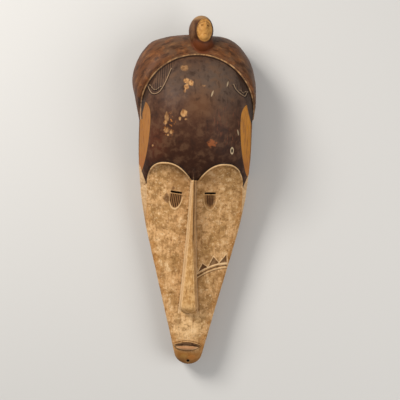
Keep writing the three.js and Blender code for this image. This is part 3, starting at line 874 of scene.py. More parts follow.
def cheek_relief(x, y):
    """Two raised lines with a groove between them, and the sunk triangles that stand on them."""
    raised = np.zeros(len(x))
    near = (x > 4) & (x < 64) & (y > 126) & (y < 182)
    x, y = x[near], y[near]
    above, along = beside(x, y, CHEEK_COURSE)
    ends = ease(along, 0, 0.02) * ease(-along, -1, -0.97)
    lines = 0.5 * bump(above, 1.3) - 0.95 * bump(above + CHEEK_GROOVE, 1.5)
    lines += 0.5 * bump(above + CHEEK_SECOND, 1.3) - 0.6 * bump(above + CHEEK_SECOND + 2, 1.1)
    local = ends * lines
    for corners in CHEEK_TRIANGLES:
        depth = inside_triangle(x, y, list(corners))
        local += 0.3 * bump(depth + 0.7, 0.9) * (above > 1) - 0.9 * ease(depth, -0.1, 0.9)
    raised[near] = local
    return raised


def fans_relief(x, y):
    """The incised double arcs, with faint upright lines above them."""
    raised = np.zeros(len(x))
    near = (np.abs(x) > 34) & (y > 410) & (y < 470)
    x, y = x[near], y[near]
    local = np.zeros(len(x))
    for course in FANS:
        off, _ = beside(x, y, course, 40)
        local += 0.35 * bump(off - 1.5, 1.1) - 0.95 * bump(off, 1.1)
    local -= 0.3 * above_fans(x, y) * bump(np.mod(x, FAN_PITCH) - FAN_PITCH / 2, 0.8)
    raised[near] = local
    return raised


def above_fans(x, y):
    """1 on the hatched fields over the two outer arcs, 0 elsewhere."""
    field = np.zeros(len(x))
    for course in (FANS[0], FANS[2]):
        off, along = beside(x, y, course, 40)
        field = np.maximum(field, ease(off, 2, 4) * ease(-off, -26, -20) * (along > 0.02))
    return field


def add_zones(mesh, surface, normals):
    """Writes what the finish needs to know at each place of the skin as attributes of the mesh."""
    x, y, z = surface.places.T
    evened = surface.places
    for _ in range(FOLD_ROUNDS):
        evened = surface.average(evened)
    fold = np.sum((evened - surface.places) * normals, axis=1)[:, None]
    for _ in range(FOLD_SOFTENING):
        fold = 0.5 * (fold + surface.average(fold))
    zones = {
        "brow": brow_distance(x, y),
        "flat": np.clip(temple_flat(x, y), -6, 6) * (y > HEART_SHOULDER - 4) * on_forehead(x, y),
        "hollow": in_hollow(x, y, z),
        "fold": np.clip(fold[:, 0], -2, 2),
        "edge": np.clip(half_width(y) - np.abs(x), 0, 20),
        "crest": ease(-crest_reach(surface.places), -1.2, -1.1) * (y > HOOD_Y + HOOD_RIM_RADIUS),
        "lines": fans_relief(x, y),
        "fan": above_fans(x, y) * on_forehead(x, y) * (y < HOOD_Y + HOOD_RIM_RADIUS),
    }
    for name, values in zones.items():
        mesh.attributes.new(name, "FLOAT", "POINT").data.foreach_set("value", values)


def carved_mask(settings):
    """The mask as one finished skin."""
    work = block()
    remesh = work.modifiers.new("grain", "REMESH")
    remesh.mode = "VOXEL"
    remesh.voxel_size = settings.grain / MM
    baked(work)
    surface = Surface(work.data)
    surface.smooth(3)
    normals = surface.normals()
    surface.places += normals * (settings.relief * fine_carving(surface.places, normals)[:, None])
    surface.write()
    decimate = work.modifiers.new("spare", "DECIMATE")
    work.data.calc_loop_triangles()
    decimate.ratio = min(1, settings.triangles / len(work.data.loop_triangles))
    decimate.use_collapse_triangulate = True
    baked(work)
    mesh = work.data
    surface = Surface(mesh)
    add_zones(mesh, surface, surface.normals())
    surface.places = np.clip((surface.places + ORIGIN) * MM, LOW, HIGH)
    surface.write()
    mesh.polygons.foreach_set("use_smooth", [True] * len(mesh.polygons))
    work.name = mesh.name = "african_mask"
    mesh.materials.clear()
    mesh.materials.append(aged_wood(settings))
    return work


class Wire:
    """A number on its way through a material, which Python's operators can work on."""

    def __init__(self, finish, socket):
        self.finish = finish
        self.socket = socket

    def worked(self, operation, *values):
        """The value worked on alone, or together with the values given, in their order."""
        return self.finish.node("Math", {"operation": operation}, dict(enumerate(values or (self,))))

    def __add__(self, other):
        return self.worked("ADD", self, other)

    def __sub__(self, other):
        return self.worked("SUBTRACT", self, other)

    def __rsub__(self, other):
        return self.worked("SUBTRACT", other, self)

    def __mul__(self, other):
        return self.worked("MULTIPLY", self, other)

    def __truediv__(self, other):
        return self.worked("DIVIDE", self, other)

    def __pow__(self, other):
        return self.worked("POWER", self, other)

    def __abs__(self):
        return self.worked("ABSOLUTE", self)

    __radd__ = __add__
    __rmul__ = __mul__

    def least(self, other):
        """The smaller of the value and another."""
        return self.worked("MINIMUM", self, other)

    def most(self, other):
        """The larger of the value and another."""
        return self.worked("MAXIMUM", self, other)

    def eased(self, start, end):
        """0 up to start and 1 from end, easing between, with start above end for a fall."""
        ends = {"Value": self, "From Min": start, "From Max": end}
        return self.finish.node("MapRange", {"interpolation_type": "SMOOTHSTEP"}, ends)

    def over(self, limit, soft=0.3):
        """1 where the value is over a limit and 0 where it is under it."""
        return (self - limit).eased(-soft, soft)

    def under(self, limit, soft=0.3):
        """1 where the value is under a limit and 0 where it is over it."""
        return (self - limit).eased(soft, -soft)

    def within(self, middle, reach):
        """1 at a value and 0 from reach away on either side."""
        return abs(self - middle).eased(reach, 0)


def colour(red, green, blue):
    """A colour by its display values, 0 to 255, as a shader takes it."""
    shown = [value / 255 for value in (red, green, blue)]
    return (*(c / 12.92 if c <= 0.04 else ((c + 0.055) / 1.055) ** 2.4 for c in shown), 1)


class Finish:
    """A material being made. Every node but the sums comes from the node method."""

    def __init__(self, name):
        self.material = bpy.data.materials.new(name)
        self.material.use_nodes = True
        self.tree = self.material.node_tree
        self.tree.nodes.clear()
        place = self.node("TexCoord", {}, {}, "Object")
        split = [self.node("SeparateXYZ", {}, {"Vector": place}, axis) for axis in "XYZ"]
        self.x, self.y, self.z = (axis / MM - float(start) for axis, start in zip(split, ORIGIN))
        self.rag = self.cloud(4.2, 3, 0.6) - 0.5

    def node(self, kind, settings, inputs, output=0):
        """A new node with its settings and the values or wires of its sockets, as a wire from an output."""
        made = self.tree.nodes.new("ShaderNode" + kind)
        for name, value in settings.items():
            setattr(made, name, value)
        for name, value in inputs.items():
            if isinstance(value, Wire):
                self.tree.links.new(value.socket, made.inputs[name])
            else:
                made.inputs[name].default_value = value
        return Wire(self, made.outputs[output])

    def laid(self, under, *layers):
        """Colours laid one over another on a first one, each by its share from 0 to 1."""
        for share, over in layers:
            under = self.node("Mix", {"data_type": "RGBA"}, {0: share, 6: under, 7: over}, 2)
        return under

    def zone(self, name):
        """One of the skin's own attributes."""
        return self.node("Attribute", {"attribute_name": name}, {}, "Fac")

    def noise(self, x, y, z, detail, rough):
        """Cloudy values about 0.5 that change over about 1."""
        place = self.node("CombineXYZ", {}, {"X": x, "Y": y, "Z": z})
        values = {"Vector": place, "Scale": 1.0, "Detail": detail, "Roughness": rough}
        return self.node("TexNoise", {}, values)

    def cloud(self, size, detail=3.0, rough=0.55, stretch=(1, 1, 1), shift=0.0):
        """Cloudy values about 0.5 that change over about size millimetres, longer along a stretched way."""
        scaled = [axis / (size * times) + shift for axis, times in zip((self.x, self.y, self.z), stretch)]
        return self.noise(*scaled, detail, rough)

    def reach(self, x, y, half_width, half_height):
        """How far out a place lies from the middle of an oval, 1 on its edge."""
        across, up = (self.x - x) / half_width, (self.y - y) / half_height
        return (across * across + up * up) ** 0.5

    def spot(self, x, y, half_width, half_height, ragged=1.2):
        """1 inside a ragged oval spot and 0 outside."""
        return (self.reach(x, y, half_width, half_height) + self.rag * ragged).eased(1.15, 0.6)

    def glow(self, x, y, half_width, half_height):
        """1 in the middle of an oval, fading out to 0 at its edge."""
        return self.reach(x, y, half_width, half_height).eased(1, 0.1)


def kaolin(f, settings):
    """Rubbed white clay over wood: mottled with ochre and dirt, barer towards the sides, with a painted
    pool of light over the lower face.
    """
    broad, mid, fine = f.cloud(30, 4), f.cloud(11, 4, 0.6, shift=7), f.cloud(3.4, 3, 0.6, shift=3)
    streak = f.cloud(2.6, 3, 0.6, (1, 10, 1), 5)
    edge = f.zone("edge")
    return f.laid(
        (*settings.clay, 1),
        (broad.eased(0.42, 0.58) * 0.8, colour(170, 128, 78)),
        # painted light: a pale pool over the lower face, where it faces up into the light
        (f.glow(-2, 62, 42, 42) * 0.7, colour(224, 184, 132)),
        (mid.eased(0.47, 0.62) * settings.wear * 0.75, colour(134, 98, 54)),
        (mid.eased(0.45, 0.34) * 0.6, colour(228, 192, 144)),
        (edge.eased(13, 3) * broad.eased(0.34, 0.58) * 0.6, colour(176, 120, 62)),
        (streak.eased(0.54, 0.68) * 0.5, colour(128, 84, 42)),
        (fine.eased(0.55, 0.68) * 0.55, colour(106, 68, 34)),
        (fine.eased(0.42, 0.3) * 0.5, colour(240, 208, 164)),
    )


def patina(f, settings):
    """The dark handled skin of the forehead: a painted grey sheen on top, and painted shade that takes it
    near black over the brow.
    """
    streak, mid = f.cloud(4.5, 4, 0.6, (1, 5, 1.5), 11), f.cloud(13, 4, 0.6, shift=21)
    upright = f.cloud(1.8, 3, 0.6, (1, 9, 2), 17)
    return f.laid(
        (*settings.patina, 1),
        # painted shade: darker towards the brow, where the forehead curves under away from the light
        (f.y.eased(392, 318) * 0.8, colour(52, 28, 17)),
        # painted sheen: grey light reflected on the top of the forehead, right and left
        (f.glow(30, 440, 78, 72) * 0.8, colour(92, 77, 66)),
        (f.glow(-40, 446, 60, 50) * 0.6, colour(86, 70, 58)),
        (f.glow(8, 405, 40, 36) * 0.6, colour(100, 64, 38)),
        (f.glow(-62, 346, 30, 44) * 0.55, colour(92, 46, 28)),
        (mid.eased(0.46, 0.64) * 0.45, colour(106, 76, 54)),
        (mid.eased(0.46, 0.32) * 0.55, colour(42, 27, 20)),
        (streak.eased(0.54, 0.7) * 0.4, colour(36, 22, 16)),
        (upright.eased(0.56, 0.7) * f.glow(55, 372, 46, 52) * 0.8, colour(132, 74, 48)),
    )


def forehead_paint(f, settings):
    """The forehead's patina with its chips, stains and rubbed marks."""
    grain = f.cloud(1.8, 4, 0.6, (1, 6, 1), 2)
    chip = 0.0
    for x, y, half_width, half_height, share in CHIPS:
        chip = chip + f.spot(x, y, half_width, half_height) * share
    chip = chip.least(1.0) * settings.chips
    bare = f.laid(colour(188, 142, 92), (grain.eased(0.42, 0.62), colour(140, 94, 52)))
    hatch = (f.x * (2 * math.pi / FAN_PITCH)).worked("COSINE").eased(-0.1, -0.8)
    ring = f.reach(*RING_MARK)
    marks = ring.within(0.85, 0.4)
    for x, y, half_width, half_height, lean in STROKE_MARKS:
        across, up = f.x - x - (f.y - y) * lean, f.y - y
        mark = (across / half_width) ** 2 + (up / half_height) ** 2 + f.rag
        marks = marks + mark.eased(1.1, 0.5) * 0.5
    return f.laid(
        patina(f, settings),
        (f.spot(*STAIN, 2.4) * 0.75, colour(150, 84, 44)),
        (f.rag.over(0.12, 0.05) * f.glow(-40, 372, 16, 26) * 0.8, colour(196, 124, 58)),
        (ring.eased(0.75, 0.6), colour(38, 26, 18)),
        (marks.least(1.0), colour(208, 184, 146)),
        (hatch * f.zone("fan") * 0.75, colour(30, 19, 13)),
        (chip, bare),
    )


def temple_paint(f, settings, under):
    """Bare ochre wood on the flattened temples, with painted shadow along their edges."""
    flat = f.zone("flat")
    grain, mid = f.cloud(1.3, 4, 0.6, (1, 22, 1), 2), f.cloud(10, 3, 0.6, (1, 2, 1), 33)
    wood = f.laid(
        (*settings.ochre, 1),
        (f.x.over(0, 5) * 0.85, colour(204, 134, 32)),
        (grain.eased(0.42, 0.62) * 0.6, colour(136, 82, 26)),
        (mid.eased(0.5, 0.66) * 0.5, colour(124, 70, 20)),
        (f.y.eased(340, 312) * 0.5, colour(150, 80, 28)),
    )
    rear = (abs(f.x) - 78 - (407 - f.y) * 0.37).over(0, 1) * f.y.over(378, 2)
    bare = flat.eased(-0.05, 0.3)
    return f.laid(
        under,
        # painted shadow in the groove along each flat's edge
        (flat.within(-0.3, 1.4) * f.y.over(296, 4) * 0.8, colour(36, 22, 14)),
        (bare, colour(78, 50, 30)),
        (bare * f.z.eased(36, 52), wood),
        (rear, colour(58, 38, 26)),
    )


def hood_paint(f, settings):
    """Reddish brown wood, streaked round and pale along its rim, where it lies, and the rim's shadow."""
    across, up = f.x - HOOD_X, f.y - HOOD_Y
    ring = (across * across + up * up) ** 0.5
    turn = up.worked("ARCTAN2", up, across)
    around = f.noise(ring / 5, turn * 5, 0.0, 4, 0.6)
    broad, mid = f.cloud(24, 3, shift=31), f.cloud(9, 4, 0.6, shift=41)
    rim = f.cloud(7, 3, shift=51).eased(0.4, 0.6)
    skin = f.laid(
        (*settings.hood, 1),
        (broad.eased(0.42, 0.58) * 0.7, colour(90, 66, 48)),
        (f.x.eased(-50, -95) * 0.65, colour(92, 50, 22)),
        (around.eased(0.48, 0.62) * 0.7, colour(52, 30, 18)),
        (around.eased(0.44, 0.32) * 0.5, colour(146, 102, 62)),
        (mid.eased(0.54, 0.7) * 0.45, colour(140, 86, 46)),
        (ring.within(HOOD_RIM_RADIUS + 0.9, 1.5) * (0.25 + rim * 0.6), colour(200, 156, 108)),
    )
    above = f.y.over(HOOD_Y - 11, 1)
    on_hood = ring.over(HOOD_RIM_RADIUS - 0.3, 0.3) * above
    shadow = ring.within(HOOD_RIM_RADIUS - 1.4, 1.9) * above
    return skin, on_hood, shadow


def crest_paint(f):
    """The small head: an ochre face in a dark hood, pale on top and red-brown at the neck, with painted
    light and shade.
    """
    place, turn = CREST_PLACE, CREST_TURN
    dx, dz = f.x - place.x, f.z - place.z
    side = dx * math.cos(turn) - dz * math.sin(turn)
    front = dx * math.sin(turn) + dz * math.cos(turn)
    up = f.y - place.y
    mid, fine = f.cloud(5, 4, 0.6, shift=61), f.cloud(1.6, 3, 0.6, shift=63)
    middle = side - CREST_FACE_X
    oval = ((middle / 12.4) ** 2 + ((up + 0.6) / 17.4) ** 2) ** 0.5
    eyes = (abs(middle) - CREST_EYE_X) ** 2 / 5 + (up - CREST_EYE_Y) ** 2 / 2
    face = f.laid(
        colour(188, 138, 74),
        (mid.eased(0.45, 0.62) * 0.7, colour(158, 106, 48)),
        (fine.eased(0.55, 0.7) * 0.5, colour(128, 84, 40)),
        # painted shadow under the small brow, and painted shade in the carved eye hollows
        ((up - 12 + middle * middle * 0.05).within(0, 1.4) * 0.75, colour(116, 72, 34)),
        (eyes.eased(1.6, 0.6) * 0.25, colour(112, 70, 34)),
        (middle.within(0, 3) * up.within(-6.5, 1) * 0.7, colour(110, 68, 32)),
    )
    return f.laid(
        colour(70, 40, 22),
        (mid.eased(0.45, 0.62) * 0.6, colour(98, 62, 36)),
        (up.eased(12, 19) * 0.85, colour(160, 122, 80)),
        # painted highlight: a pale band down the hood's left edge, where the light falls
        (side.within(-16, 3.5) * 0.25, colour(150, 112, 78)),
        (up.eased(-12, -22) * 0.8, colour(100, 50, 24)),
        # painted shadow: the dark groove round the face and under its chin
        (oval.within(1.1, 0.2) * up.under(11, 4) * 0.6, colour(48, 26, 12)),
        (oval.under(1.0, 0.05) * front.over(6, 2), face),
    )


def brow_paint(f, under):
    """A pale worn line along the brow's bead, painted shadow where it meets the forehead and painted shade
    just under it, and the pale side horns.
    """
    brow = f.zone("brow")
    out = abs(f.x - HEART_X) - HEART_HALF_WIDTH
    horn = (HEART_SHOULDER + out * 2.5 - f.y).over(0, 1) * out.over(-0.5, 0.6) * f.y.under(312, 2)
    rubbed = f.z.eased(4, 40) * f.y.eased(205, 268) * (0.7 + f.rag * 2).least(1.0).most(0.0)
    shadow = brow.within(0.9, 1.3) * f.y.over(HEART_SHOULDER, 2) * (1 - horn)
    bead = brow.within(-1.0, 1.25) * f.y.over(HEART_SHOULDER + 14, 6)
    return f.laid(
        under,
        (shadow, colour(30, 18, 12)),
        # painted shade: the clay just under the bead, darkened beneath the overhanging brow
        (brow.within(-3.4, 1.4) * f.y.over(HEART_SHOULDER, 6) * 0.35, colour(132, 94, 54)),
        (bead * 0.75, colour(222, 186, 140)),
        (horn * 0.8, colour(150, 108, 64)),
        (horn * rubbed, colour(214, 178, 134)),
    )


def moon_reach(across, down, half_width, height):
    """How far out a place lies from a half-moon's top, 1 on its edge."""
    return ((across / half_width) ** 2 + (down.most(0.0) / height) ** 2) ** 0.5


def eye_paint(f, under):
    """Slits painted near black as shade, over half-moons hatched with upright lines, the left one clearer
    and pale-rimmed.
    """
    for side, clear, pale, rim in ((-1, 1.0, 0.6, 0.8), (1, 0.18, 0.35, 0.35)):
        across, down = moon_place(f.x, f.y, side)
        reach = moon_reach(across, down, MOON_HALF_WIDTH, MOON_HEIGHT)
        lines = (across * (2 * math.pi / MOON_PITCH)).worked("COSINE")
        inside = reach.under(1, 0.06) * down.over(-0.5, 0.5)
        if clear < 1:
            core = moon_reach(across, down, CORE_HALF_WIDTH, CORE_HEIGHT)
            inside = inside * (clear + (1 - clear) * core.under(1, 0.15))
        slit = abs(across).under(EYE_SLIT_WIDTH / 2, 0.6) * (down + EYE_SLIT_Y - MOON_TOP).within(0, 2.6)
        under = f.laid(
            under,
            ((reach + f.rag * 0.8).eased(1.6, 0.9) * 0.35, colour(140, 98, 56)),
            (inside * 0.85, colour(96, 62, 34)),
            (inside * lines.eased(0.1, -0.7) * 0.9, colour(44, 27, 16)),
            (inside * lines.eased(0.3, 0.9) * pale, colour(168, 124, 78)),
            (reach.within(1.1, 0.12) * down.over(5, 3) * rim, colour(222, 186, 138)),
            # painted shade: the slit and its edges near black, for the dark opening
            (slit, colour(22, 13, 8)),
        )
    return f.laid(
        under,
        (f.spot(-40.5, 261, 5, 8, 1.4) * 0.75, colour(92, 58, 32)),
        (f.spot(-31, 277, 2.4, 3.4, 1.0) * 0.7, colour(96, 60, 34)),
        (f.spot(27, 258, 8, 6, 1.0) * 0.45, colour(70, 42, 24)),
    )


def cheek_bow():
    """Height, slope and bend of the bow through the cheek course's two ends and its middle."""
    (start_x, start_y), (middle_x, middle_y), (end_x, end_y) = CHEEK_COURSE[::2]
    first = (middle_y - start_y) / (middle_x - start_x)
    second = (end_y - start_y) / (end_x - start_x)
    bend = (second - first) / (end_x - middle_x)
    return start_y, first - bend * (middle_x - start_x), bend


def cheek_paint(f, under):
    """Dark in the cheek's groove and triangles, and pale on the lines between."""
    start, slope, bend = cheek_bow()
    run = f.x - CHEEK_COURSE[0][0]
    above = (f.y - start - run * slope - run * run * bend) * 0.9
    along = f.x.over(10.5, 0.6) * f.x.under(56.5, 0.8)
    for (left, right, tip), dark in zip(CHEEK_TRIANGLES, (0.9, 0.7, 0.8)):
        depth = (above - 1.2).least(inward(f, left, tip, right)).least(inward(f, tip, right, left))
        under = f.laid(
            under,
            (depth.within(-0.9, 0.9) * 0.7, colour(224, 190, 146)),
            (depth.eased(-0.2, 0.5) * dark, colour(84, 54, 32)),
        )
    return f.laid(
        under,
        (above.within(0, 1.1) * along * 0.85, colour(228, 196, 152)),
        (above.within(-CHEEK_SECOND, 1.1) * along * 0.85, colour(222, 188, 142)),
        (above.within(-CHEEK_GROOVE, 1.5) * along * 0.9, colour(72, 44, 26)),
        (above.within(-CHEEK_SECOND - 1.9, 1.1) * along * 0.6, colour(104, 70, 40)),
    )


def inward(f, a, b, inner):
    """Distance from the line through a and b, above 0 on the side where inner lies."""
    length = math.dist(a, b)
    across, up = (a[1] - b[1]) / length, (b[0] - a[0]) / length
    if across * (inner[0] - a[0]) + up * (inner[1] - a[1]) < 0:
        across, up = -across, -up
    return (f.x - a[0]) * across + (f.y - a[1]) * up


def nose_paint(f, under):
    """An ochre front between bevels painted lit on the left and shaded on the right, pale at their arrises,
    with painted shade beside the right flank and a dark crack down the upper half.
    """
    down = ((NOSE_ROOT - f.y) / (NOSE_ROOT - NOSE_END)).most(0.0).least(1.0)
    off = f.x + down * NOSE_LEAN
    front, base = nose_widths(down)
    length = f.y.over(NOSE_END - 1, 1) * f.y.under(NOTCH - 1, 2)
    mid, streak = f.cloud(7, 4, 0.6, shift=71), f.cloud(2, 3, 0.6, (1, 8, 1), 73)
    wood = f.laid(
        colour(208, 165, 110),
        (mid.eased(0.44, 0.6) * 0.65, colour(166, 118, 62)),
        (streak.eased(0.5, 0.66) * 0.6, colour(126, 82, 38)),
        (f.y.eased(150, 215) * 0.5, colour(146, 98, 52)),
    )
    crack = beside_crack(f.x, f.y).within(0, 1.3) * f.y.eased(184, 200) * f.y.eased(293, 288)
    beyond = abs(off) - base
    shade = beyond.eased(4.5, 0.5) * beyond.over(-0.5, 0.5) * off.over(0, 1)
    return f.laid(
        under,
        # painted shade beside the nose's right flank, away from the light
        (length * shade * 0.35, colour(120, 84, 48)),
        # painted light and shade: the left bevel lit paler, the right bevel darker in shade
        (length * beyond.under(0, 0.4) * off.under(0, 0.5) * 0.6, colour(212, 174, 128)),
        (length * beyond.under(0, 0.4) * off.over(0, 0.5) * 0.5, colour(170, 128, 84)),
        (length * (abs(off) - front).under(-0.3, 0.5), wood),
        (length * (off + base).within(0.2, 1.1) * 0.85, colour(232, 198, 154)),
        (length * (off + front).within(0, 1.0) * 0.6, colour(222, 184, 136)),
        (length * (off - base).within(-0.2, 1.0) * 0.6, colour(212, 176, 134)),
        (crack * 0.85, colour(74, 46, 26)),
    )


def mouth_paint(f, under):
    """Dark lines over and under the lips, painted shadow between them, a pinkish lower lip and a brown chin
    with painted shade.
    """
    across = f.x - MOUTH_X
    wide = abs(across).under(MOUTH_HALF_WIDTH - 0.6, 1.6)
    curve = across * across
    over = f.y - MOUTH_Y - 6.2 + curve * 0.0115
    slit = f.y - MOUTH_Y + 0.2 + curve * 0.007
    lip_gap_shadow = (f.y - MOUTH_Y + 0.6).over(0, 0.5) * (f.y - MOUTH_Y - 4.3 + curve * 0.0105).under(0, 0.5)
    foot = f.y - MOUTH_Y + 9.6 - curve * 0.0165
    lip = slit.under(-1.2, 0.5) * foot.over(0.6, 0.5) * wide
    return f.laid(
        under,
        # brown chin, darkened partly as painted shade where it turns under away from the light
        (f.y.eased(27, 17) * 0.95, colour(140, 92, 42)),
        (f.spot(6, 12, 9, 5, 2) * 0.5, colour(176, 110, 52)),
        (f.spot(-6, 14, 7, 5, 2) * 0.4, colour(160, 120, 60)),
        (lip * 0.8, colour(170, 120, 84)),
        (lip * foot.within(1.2, 1.4) * 0.6, colour(220, 180, 130)),
        (over.within(0, 1.3) * wide * 0.75, colour(106, 68, 28)),
        # painted shadow: the dark wedge under the upper lip and the dark slit between the lips
        (lip_gap_shadow * wide * 0.95, colour(48, 20, 9)),
        (slit.within(0, 1.6) * abs(across).under(0.86 * MOUTH_HALF_WIDTH, 1), colour(44, 20, 10)),
        (foot.within(0, 1.6) * wide * 0.85, colour(82, 48, 20)),
        # painted shade: near black inside the hole through the chin
        (f.reach(0, CHIN_HOLE_Y, 2.6, 2.6).eased(1.1, 0.9), colour(26, 16, 10)),
    )


def aged_wood(settings):
    """The whole finish: a chalky face, a polished forehead, bare temples, a brown hood and a raw back."""
    f = Finish("aged_wood")
    brow, fold, crest = f.zone("brow"), f.zone("fold"), f.zone("crest")
    face = kaolin(f, settings)
    for paint in (nose_paint, eye_paint, cheek_paint, mouth_paint):
        face = paint(f, face)
    face = f.laid(face, (f.z.eased(44, 26) * f.zone("edge").eased(4, 2) * 0.8, colour(120, 84, 52)))
    forehead = temple_paint(f, settings, forehead_paint(f, settings))
    hood, on_hood, rim_shadow = hood_paint(f, settings)
    lines = f.zone("lines")
    upper = f.laid(
        forehead,
        (lines.eased(-0.2, -0.6) * 0.7, colour(28, 18, 12)),
        (lines.eased(0.08, 0.3) * 0.7, colour(168, 140, 108)),
        (rim_shadow, colour(24, 14, 9)),
        (on_hood, hood),
        (crest, crest_paint(f)),
    )
    outside = f.laid(
        brow_paint(f, f.laid(upper, (brow.under(0.1, 0.3), face))),
        # grime and painted shade: darker in the concave folds of the carving, where shade lies
        (fold.eased(0.12, 0.8) * settings.fold_grime_and_shade, colour(58, 36, 20)),
        (fold.eased(-0.3, -1) * (1 - crest) * (1 - on_hood) * 0.3, colour(222, 182, 130)),
    )
    grain = f.cloud(2.2, 4, 0.6, (1, 16, 1))
    raw = f.laid(colour(140, 102, 66), (grain.eased(0.4, 0.62), colour(104, 72, 46)))
    skin = f.laid(outside, (f.zone("hollow"), raw))
    chalky = brow.under(0.1, 0.3).most(f.zone("hollow"))
    gloss = f.cloud(12, 3, shift=81) * 0.16 + settings.polish
    rough = f.node("Mix", {"data_type": "FLOAT"}, {0: chalky, 2: gloss, 3: 0.85}, 0)
    height = grain * 0.5 + f.cloud(1.1, 3, 0.6) * 0.5
    relief = f.node("Bump", {}, {"Height": height, "Strength": 0.3, "Distance": 0.0006})
    shader = f.node("BsdfPrincipled", {}, {
        "Base Color": skin, "Roughness": rough, "Normal": relief, "Specular IOR Level": 0.12,
    })
    out = f.tree.nodes.new("ShaderNodeOutputMaterial")
    f.tree.links.new(shader.socket, out.inputs["Surface"])
    return f.material


def add_light(name, place, size, power, colour):
    """A soft square light that faces the middle of the mask."""
    data = bpy.data.lights.new(name, "AREA")
    data.size = size
    data.energy = power
    data.color = colour
    lamp = bpy.data.objects.new(name, data)
    lamp.location = place
    lamp.rotation_euler = (-Vector(place)).to_track_quat("-Z", "Y").to_euler()
    bpy.context.scene.collection.objects.link(lamp)


def stage(settings):
    """A plain pale floor, two soft lights, a soft sky and the camera that looks down on the mask."""
    bm = bmesh.new()
    bmesh.ops.create_grid(bm, x_segments=1, y_segments=1, size=FLOOR_REACH)
    floor = shape(bm)
    floor.name = "floor"
    floor.location.z = LOW.z - FLOOR_GAP
    paint = bpy.data.materials.new("floor")
    paint.use_nodes = True
    shader = paint.node_tree.nodes["Principled BSDF"]
    shader.inputs["Base Color"].default_value = (*settings.floor, 1)
    shader.inputs["Roughness"].default_value = 0.8
    floor.data.materials.append(paint)
    add_light("key", KEY_PLACE, KEY_SIZE, settings.key, (1, 0.97, 0.93))
    add_light("fill", FILL_PLACE, FILL_SIZE, settings.fill, (1, 0.98, 0.96))
    world = bpy.data.worlds.new("soft")
    world.use_nodes = True
    world.node_tree.nodes["Background"].inputs["Color"].default_value = (1, 1, 1, 1)
    world.node_tree.nodes["Background"].inputs["Strength"].default_value = settings.sky
    bpy.context.scene.world = world
    data = bpy.data.cameras.new("camera")
    data.sensor_width = 36
    data.lens = data.sensor_width / (2 * math.tan(settings.view_angle / 2))
    camera = bpy.data.objects.new("camera", data)
    camera.location = CAMERA_PLACE
    camera.rotation_euler = Euler((0, 0, settings.camera_turn))
    bpy.context.scene.collection.objects.link(camera)
    bpy.context.scene.camera = camera
    bpy.context.scene.view_settings.view_transform = "Standard"


class MaskSettings(bpy.types.PropertyGroup):
    """How finely the mask is carved, its colours and how worn its finish is."""

    clay: bpy.props.FloatVectorProperty(
        name="Clay", description="Colour of the white clay that is rubbed into the face",
        default=colour(202, 157, 106)[:3], subtype="COLOR", min=0.0, max=1.0,
    )
    patina: bpy.props.FloatVectorProperty(
        name="Patina", description="Colour of the dark handled skin of the forehead",
        default=colour(73, 46, 32)[:3], subtype="COLOR", min=0.0, max=1.0,
    )
    ochre: bpy.props.FloatVectorProperty(
        name="Bare wood", description="Colour of the bare ochre wood on the flattened temples",
        default=colour(162, 104, 36)[:3], subtype="COLOR", min=0.0, max=1.0,
    )
    hood: bpy.props.FloatVectorProperty(
        name="Hood", description="Colour of the hood's brown wood",
        default=colour(98, 60, 34)[:3], subtype="COLOR", min=0.0, max=1.0,
    )
    grain: bpy.props.FloatProperty(
        name="Grain", description="Size of the finest carving that the skin keeps",
        default=0.0008, min=0.0005, max=0.005, precision=4, unit="LENGTH",
    )
    triangles: bpy.props.IntProperty(
        name="Triangles", description="The most triangles that the finished skin is brought down to",
        default=190_000, min=10_000, max=199_000,
    )
    relief: bpy.props.FloatProperty(
        name="Relief", description="How deep the fine carving and the tool marks go",
        default=1.0, min=0.0, max=2.0, unit="NONE",
    )
    wear: bpy.props.FloatProperty(
        name="Wear", description="How far the white clay of the face is rubbed down to the wood",
        default=0.85, min=0.0, max=1.0, unit="NONE",
    )
    # Grime and painted shade together: how dark the concave folds of the carving are painted.
    fold_grime_and_shade: bpy.props.FloatProperty(
        name="Grime", description="How dark the dirt lies in the folds of the carving",
        default=0.45, min=0.0, max=1.0, unit="NONE",
    )
    chips: bpy.props.FloatProperty(
        name="Chips", description="How bare the chips through the forehead's dark skin are",
        default=1.0, min=0.0, max=1.0, unit="NONE",
    )
    polish: bpy.props.FloatProperty(
        name="Roughness of the patina", description="How dull the handled forehead and hood are",
        default=0.42, min=0.0, max=0.8, unit="NONE",
    )


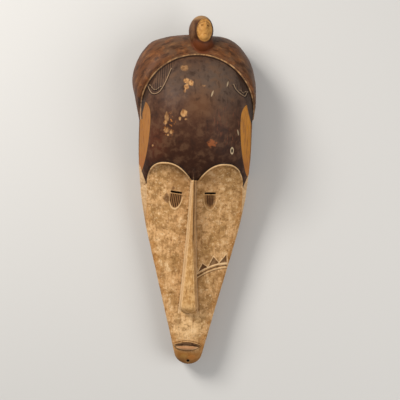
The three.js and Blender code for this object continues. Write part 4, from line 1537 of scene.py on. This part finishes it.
class StageSettings(bpy.types.PropertyGroup):
    """The floor, the lights and the camera."""

    floor: bpy.props.FloatVectorProperty(
        name="Floor", description="Colour of the floor under the mask",
        default=(0.6, 0.59, 0.57), subtype="COLOR", min=0.0, max=1.0,
    )
    key: bpy.props.FloatProperty(
        name="Key light", description="Power of the light at the upper left",
        default=35.0, min=0.0, unit="POWER",
    )
    fill: bpy.props.FloatProperty(
        name="Fill light", description="Power of the light at the right",
        default=14.0, min=0.0, unit="POWER",
    )
    sky: bpy.props.FloatProperty(
        name="Sky", description="Strength of the even light from all round",
        default=0.3, min=0.0, unit="NONE",
    )
    view_angle: bpy.props.FloatProperty(
        name="View angle", description="How wide the camera sees",
        default=math.radians(17.75), min=0.05, max=2.0, unit="ROTATION",
    )
    camera_turn: bpy.props.FloatProperty(
        name="Camera turn", description="How far the camera is turned about its line of sight",
        default=math.radians(1.873), unit="ROTATION",
    )


class MASK_OT_carve(bpy.types.Operator):
    """Carve the mask from its block, with its fine relief and its finish"""

    bl_idname = "mask.carve"
    bl_label = "Carve the mask"

    def execute(self, context):
        piece = carved_mask(context.scene.mask_settings)
        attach(piece, "root")
        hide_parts(NODE)
        return {"FINISHED"}


class MASK_OT_stage(bpy.types.Operator):
    """Set the floor, the lights and the camera round the mask"""

    bl_idname = "mask.stage"
    bl_label = "Set the stage"

    def execute(self, context):
        stage(context.scene.mask_stage)
        return {"FINISHED"}


class VIEW3D_PT_heart_faced_mask(bpy.types.Panel):
    """The mask's sizes and buttons in the sidebar"""

    bl_label = "Heart-faced mask"
    bl_space_type = "VIEW_3D"
    bl_region_type = "UI"
    bl_category = "Mask"

    def draw(self, context):
        for settings, operator in (
            (context.scene.mask_settings, MASK_OT_carve.bl_idname),
            (context.scene.mask_stage, MASK_OT_stage.bl_idname),
        ):
            column = self.layout.column(align=True)
            for name in type(settings).__annotations__:
                column.prop(settings, name)
            column.operator(operator)


CLASSES = (MaskSettings, StageSettings, MASK_OT_carve, MASK_OT_stage, VIEW3D_PT_heart_faced_mask)


def register():
    """Makes the classes and their settings known to Blender."""
    for kind in CLASSES:
        bpy.utils.register_class(kind)
    bpy.types.Scene.mask_settings = bpy.props.PointerProperty(type=MaskSettings)
    bpy.types.Scene.mask_stage = bpy.props.PointerProperty(type=StageSettings)


def unregister():
    """Takes the settings and the classes out of Blender again."""
    del bpy.types.Scene.mask_stage
    del bpy.types.Scene.mask_settings
    for kind in reversed(CLASSES):
        bpy.utils.unregister_class(kind)


def main():
    register()
    for operator in (bpy.ops.mask.carve, bpy.ops.mask.stage):
        if operator() != {"FINISHED"}:
            raise RuntimeError("an operator didn't finish")


if __name__ == "__main__":
    main()
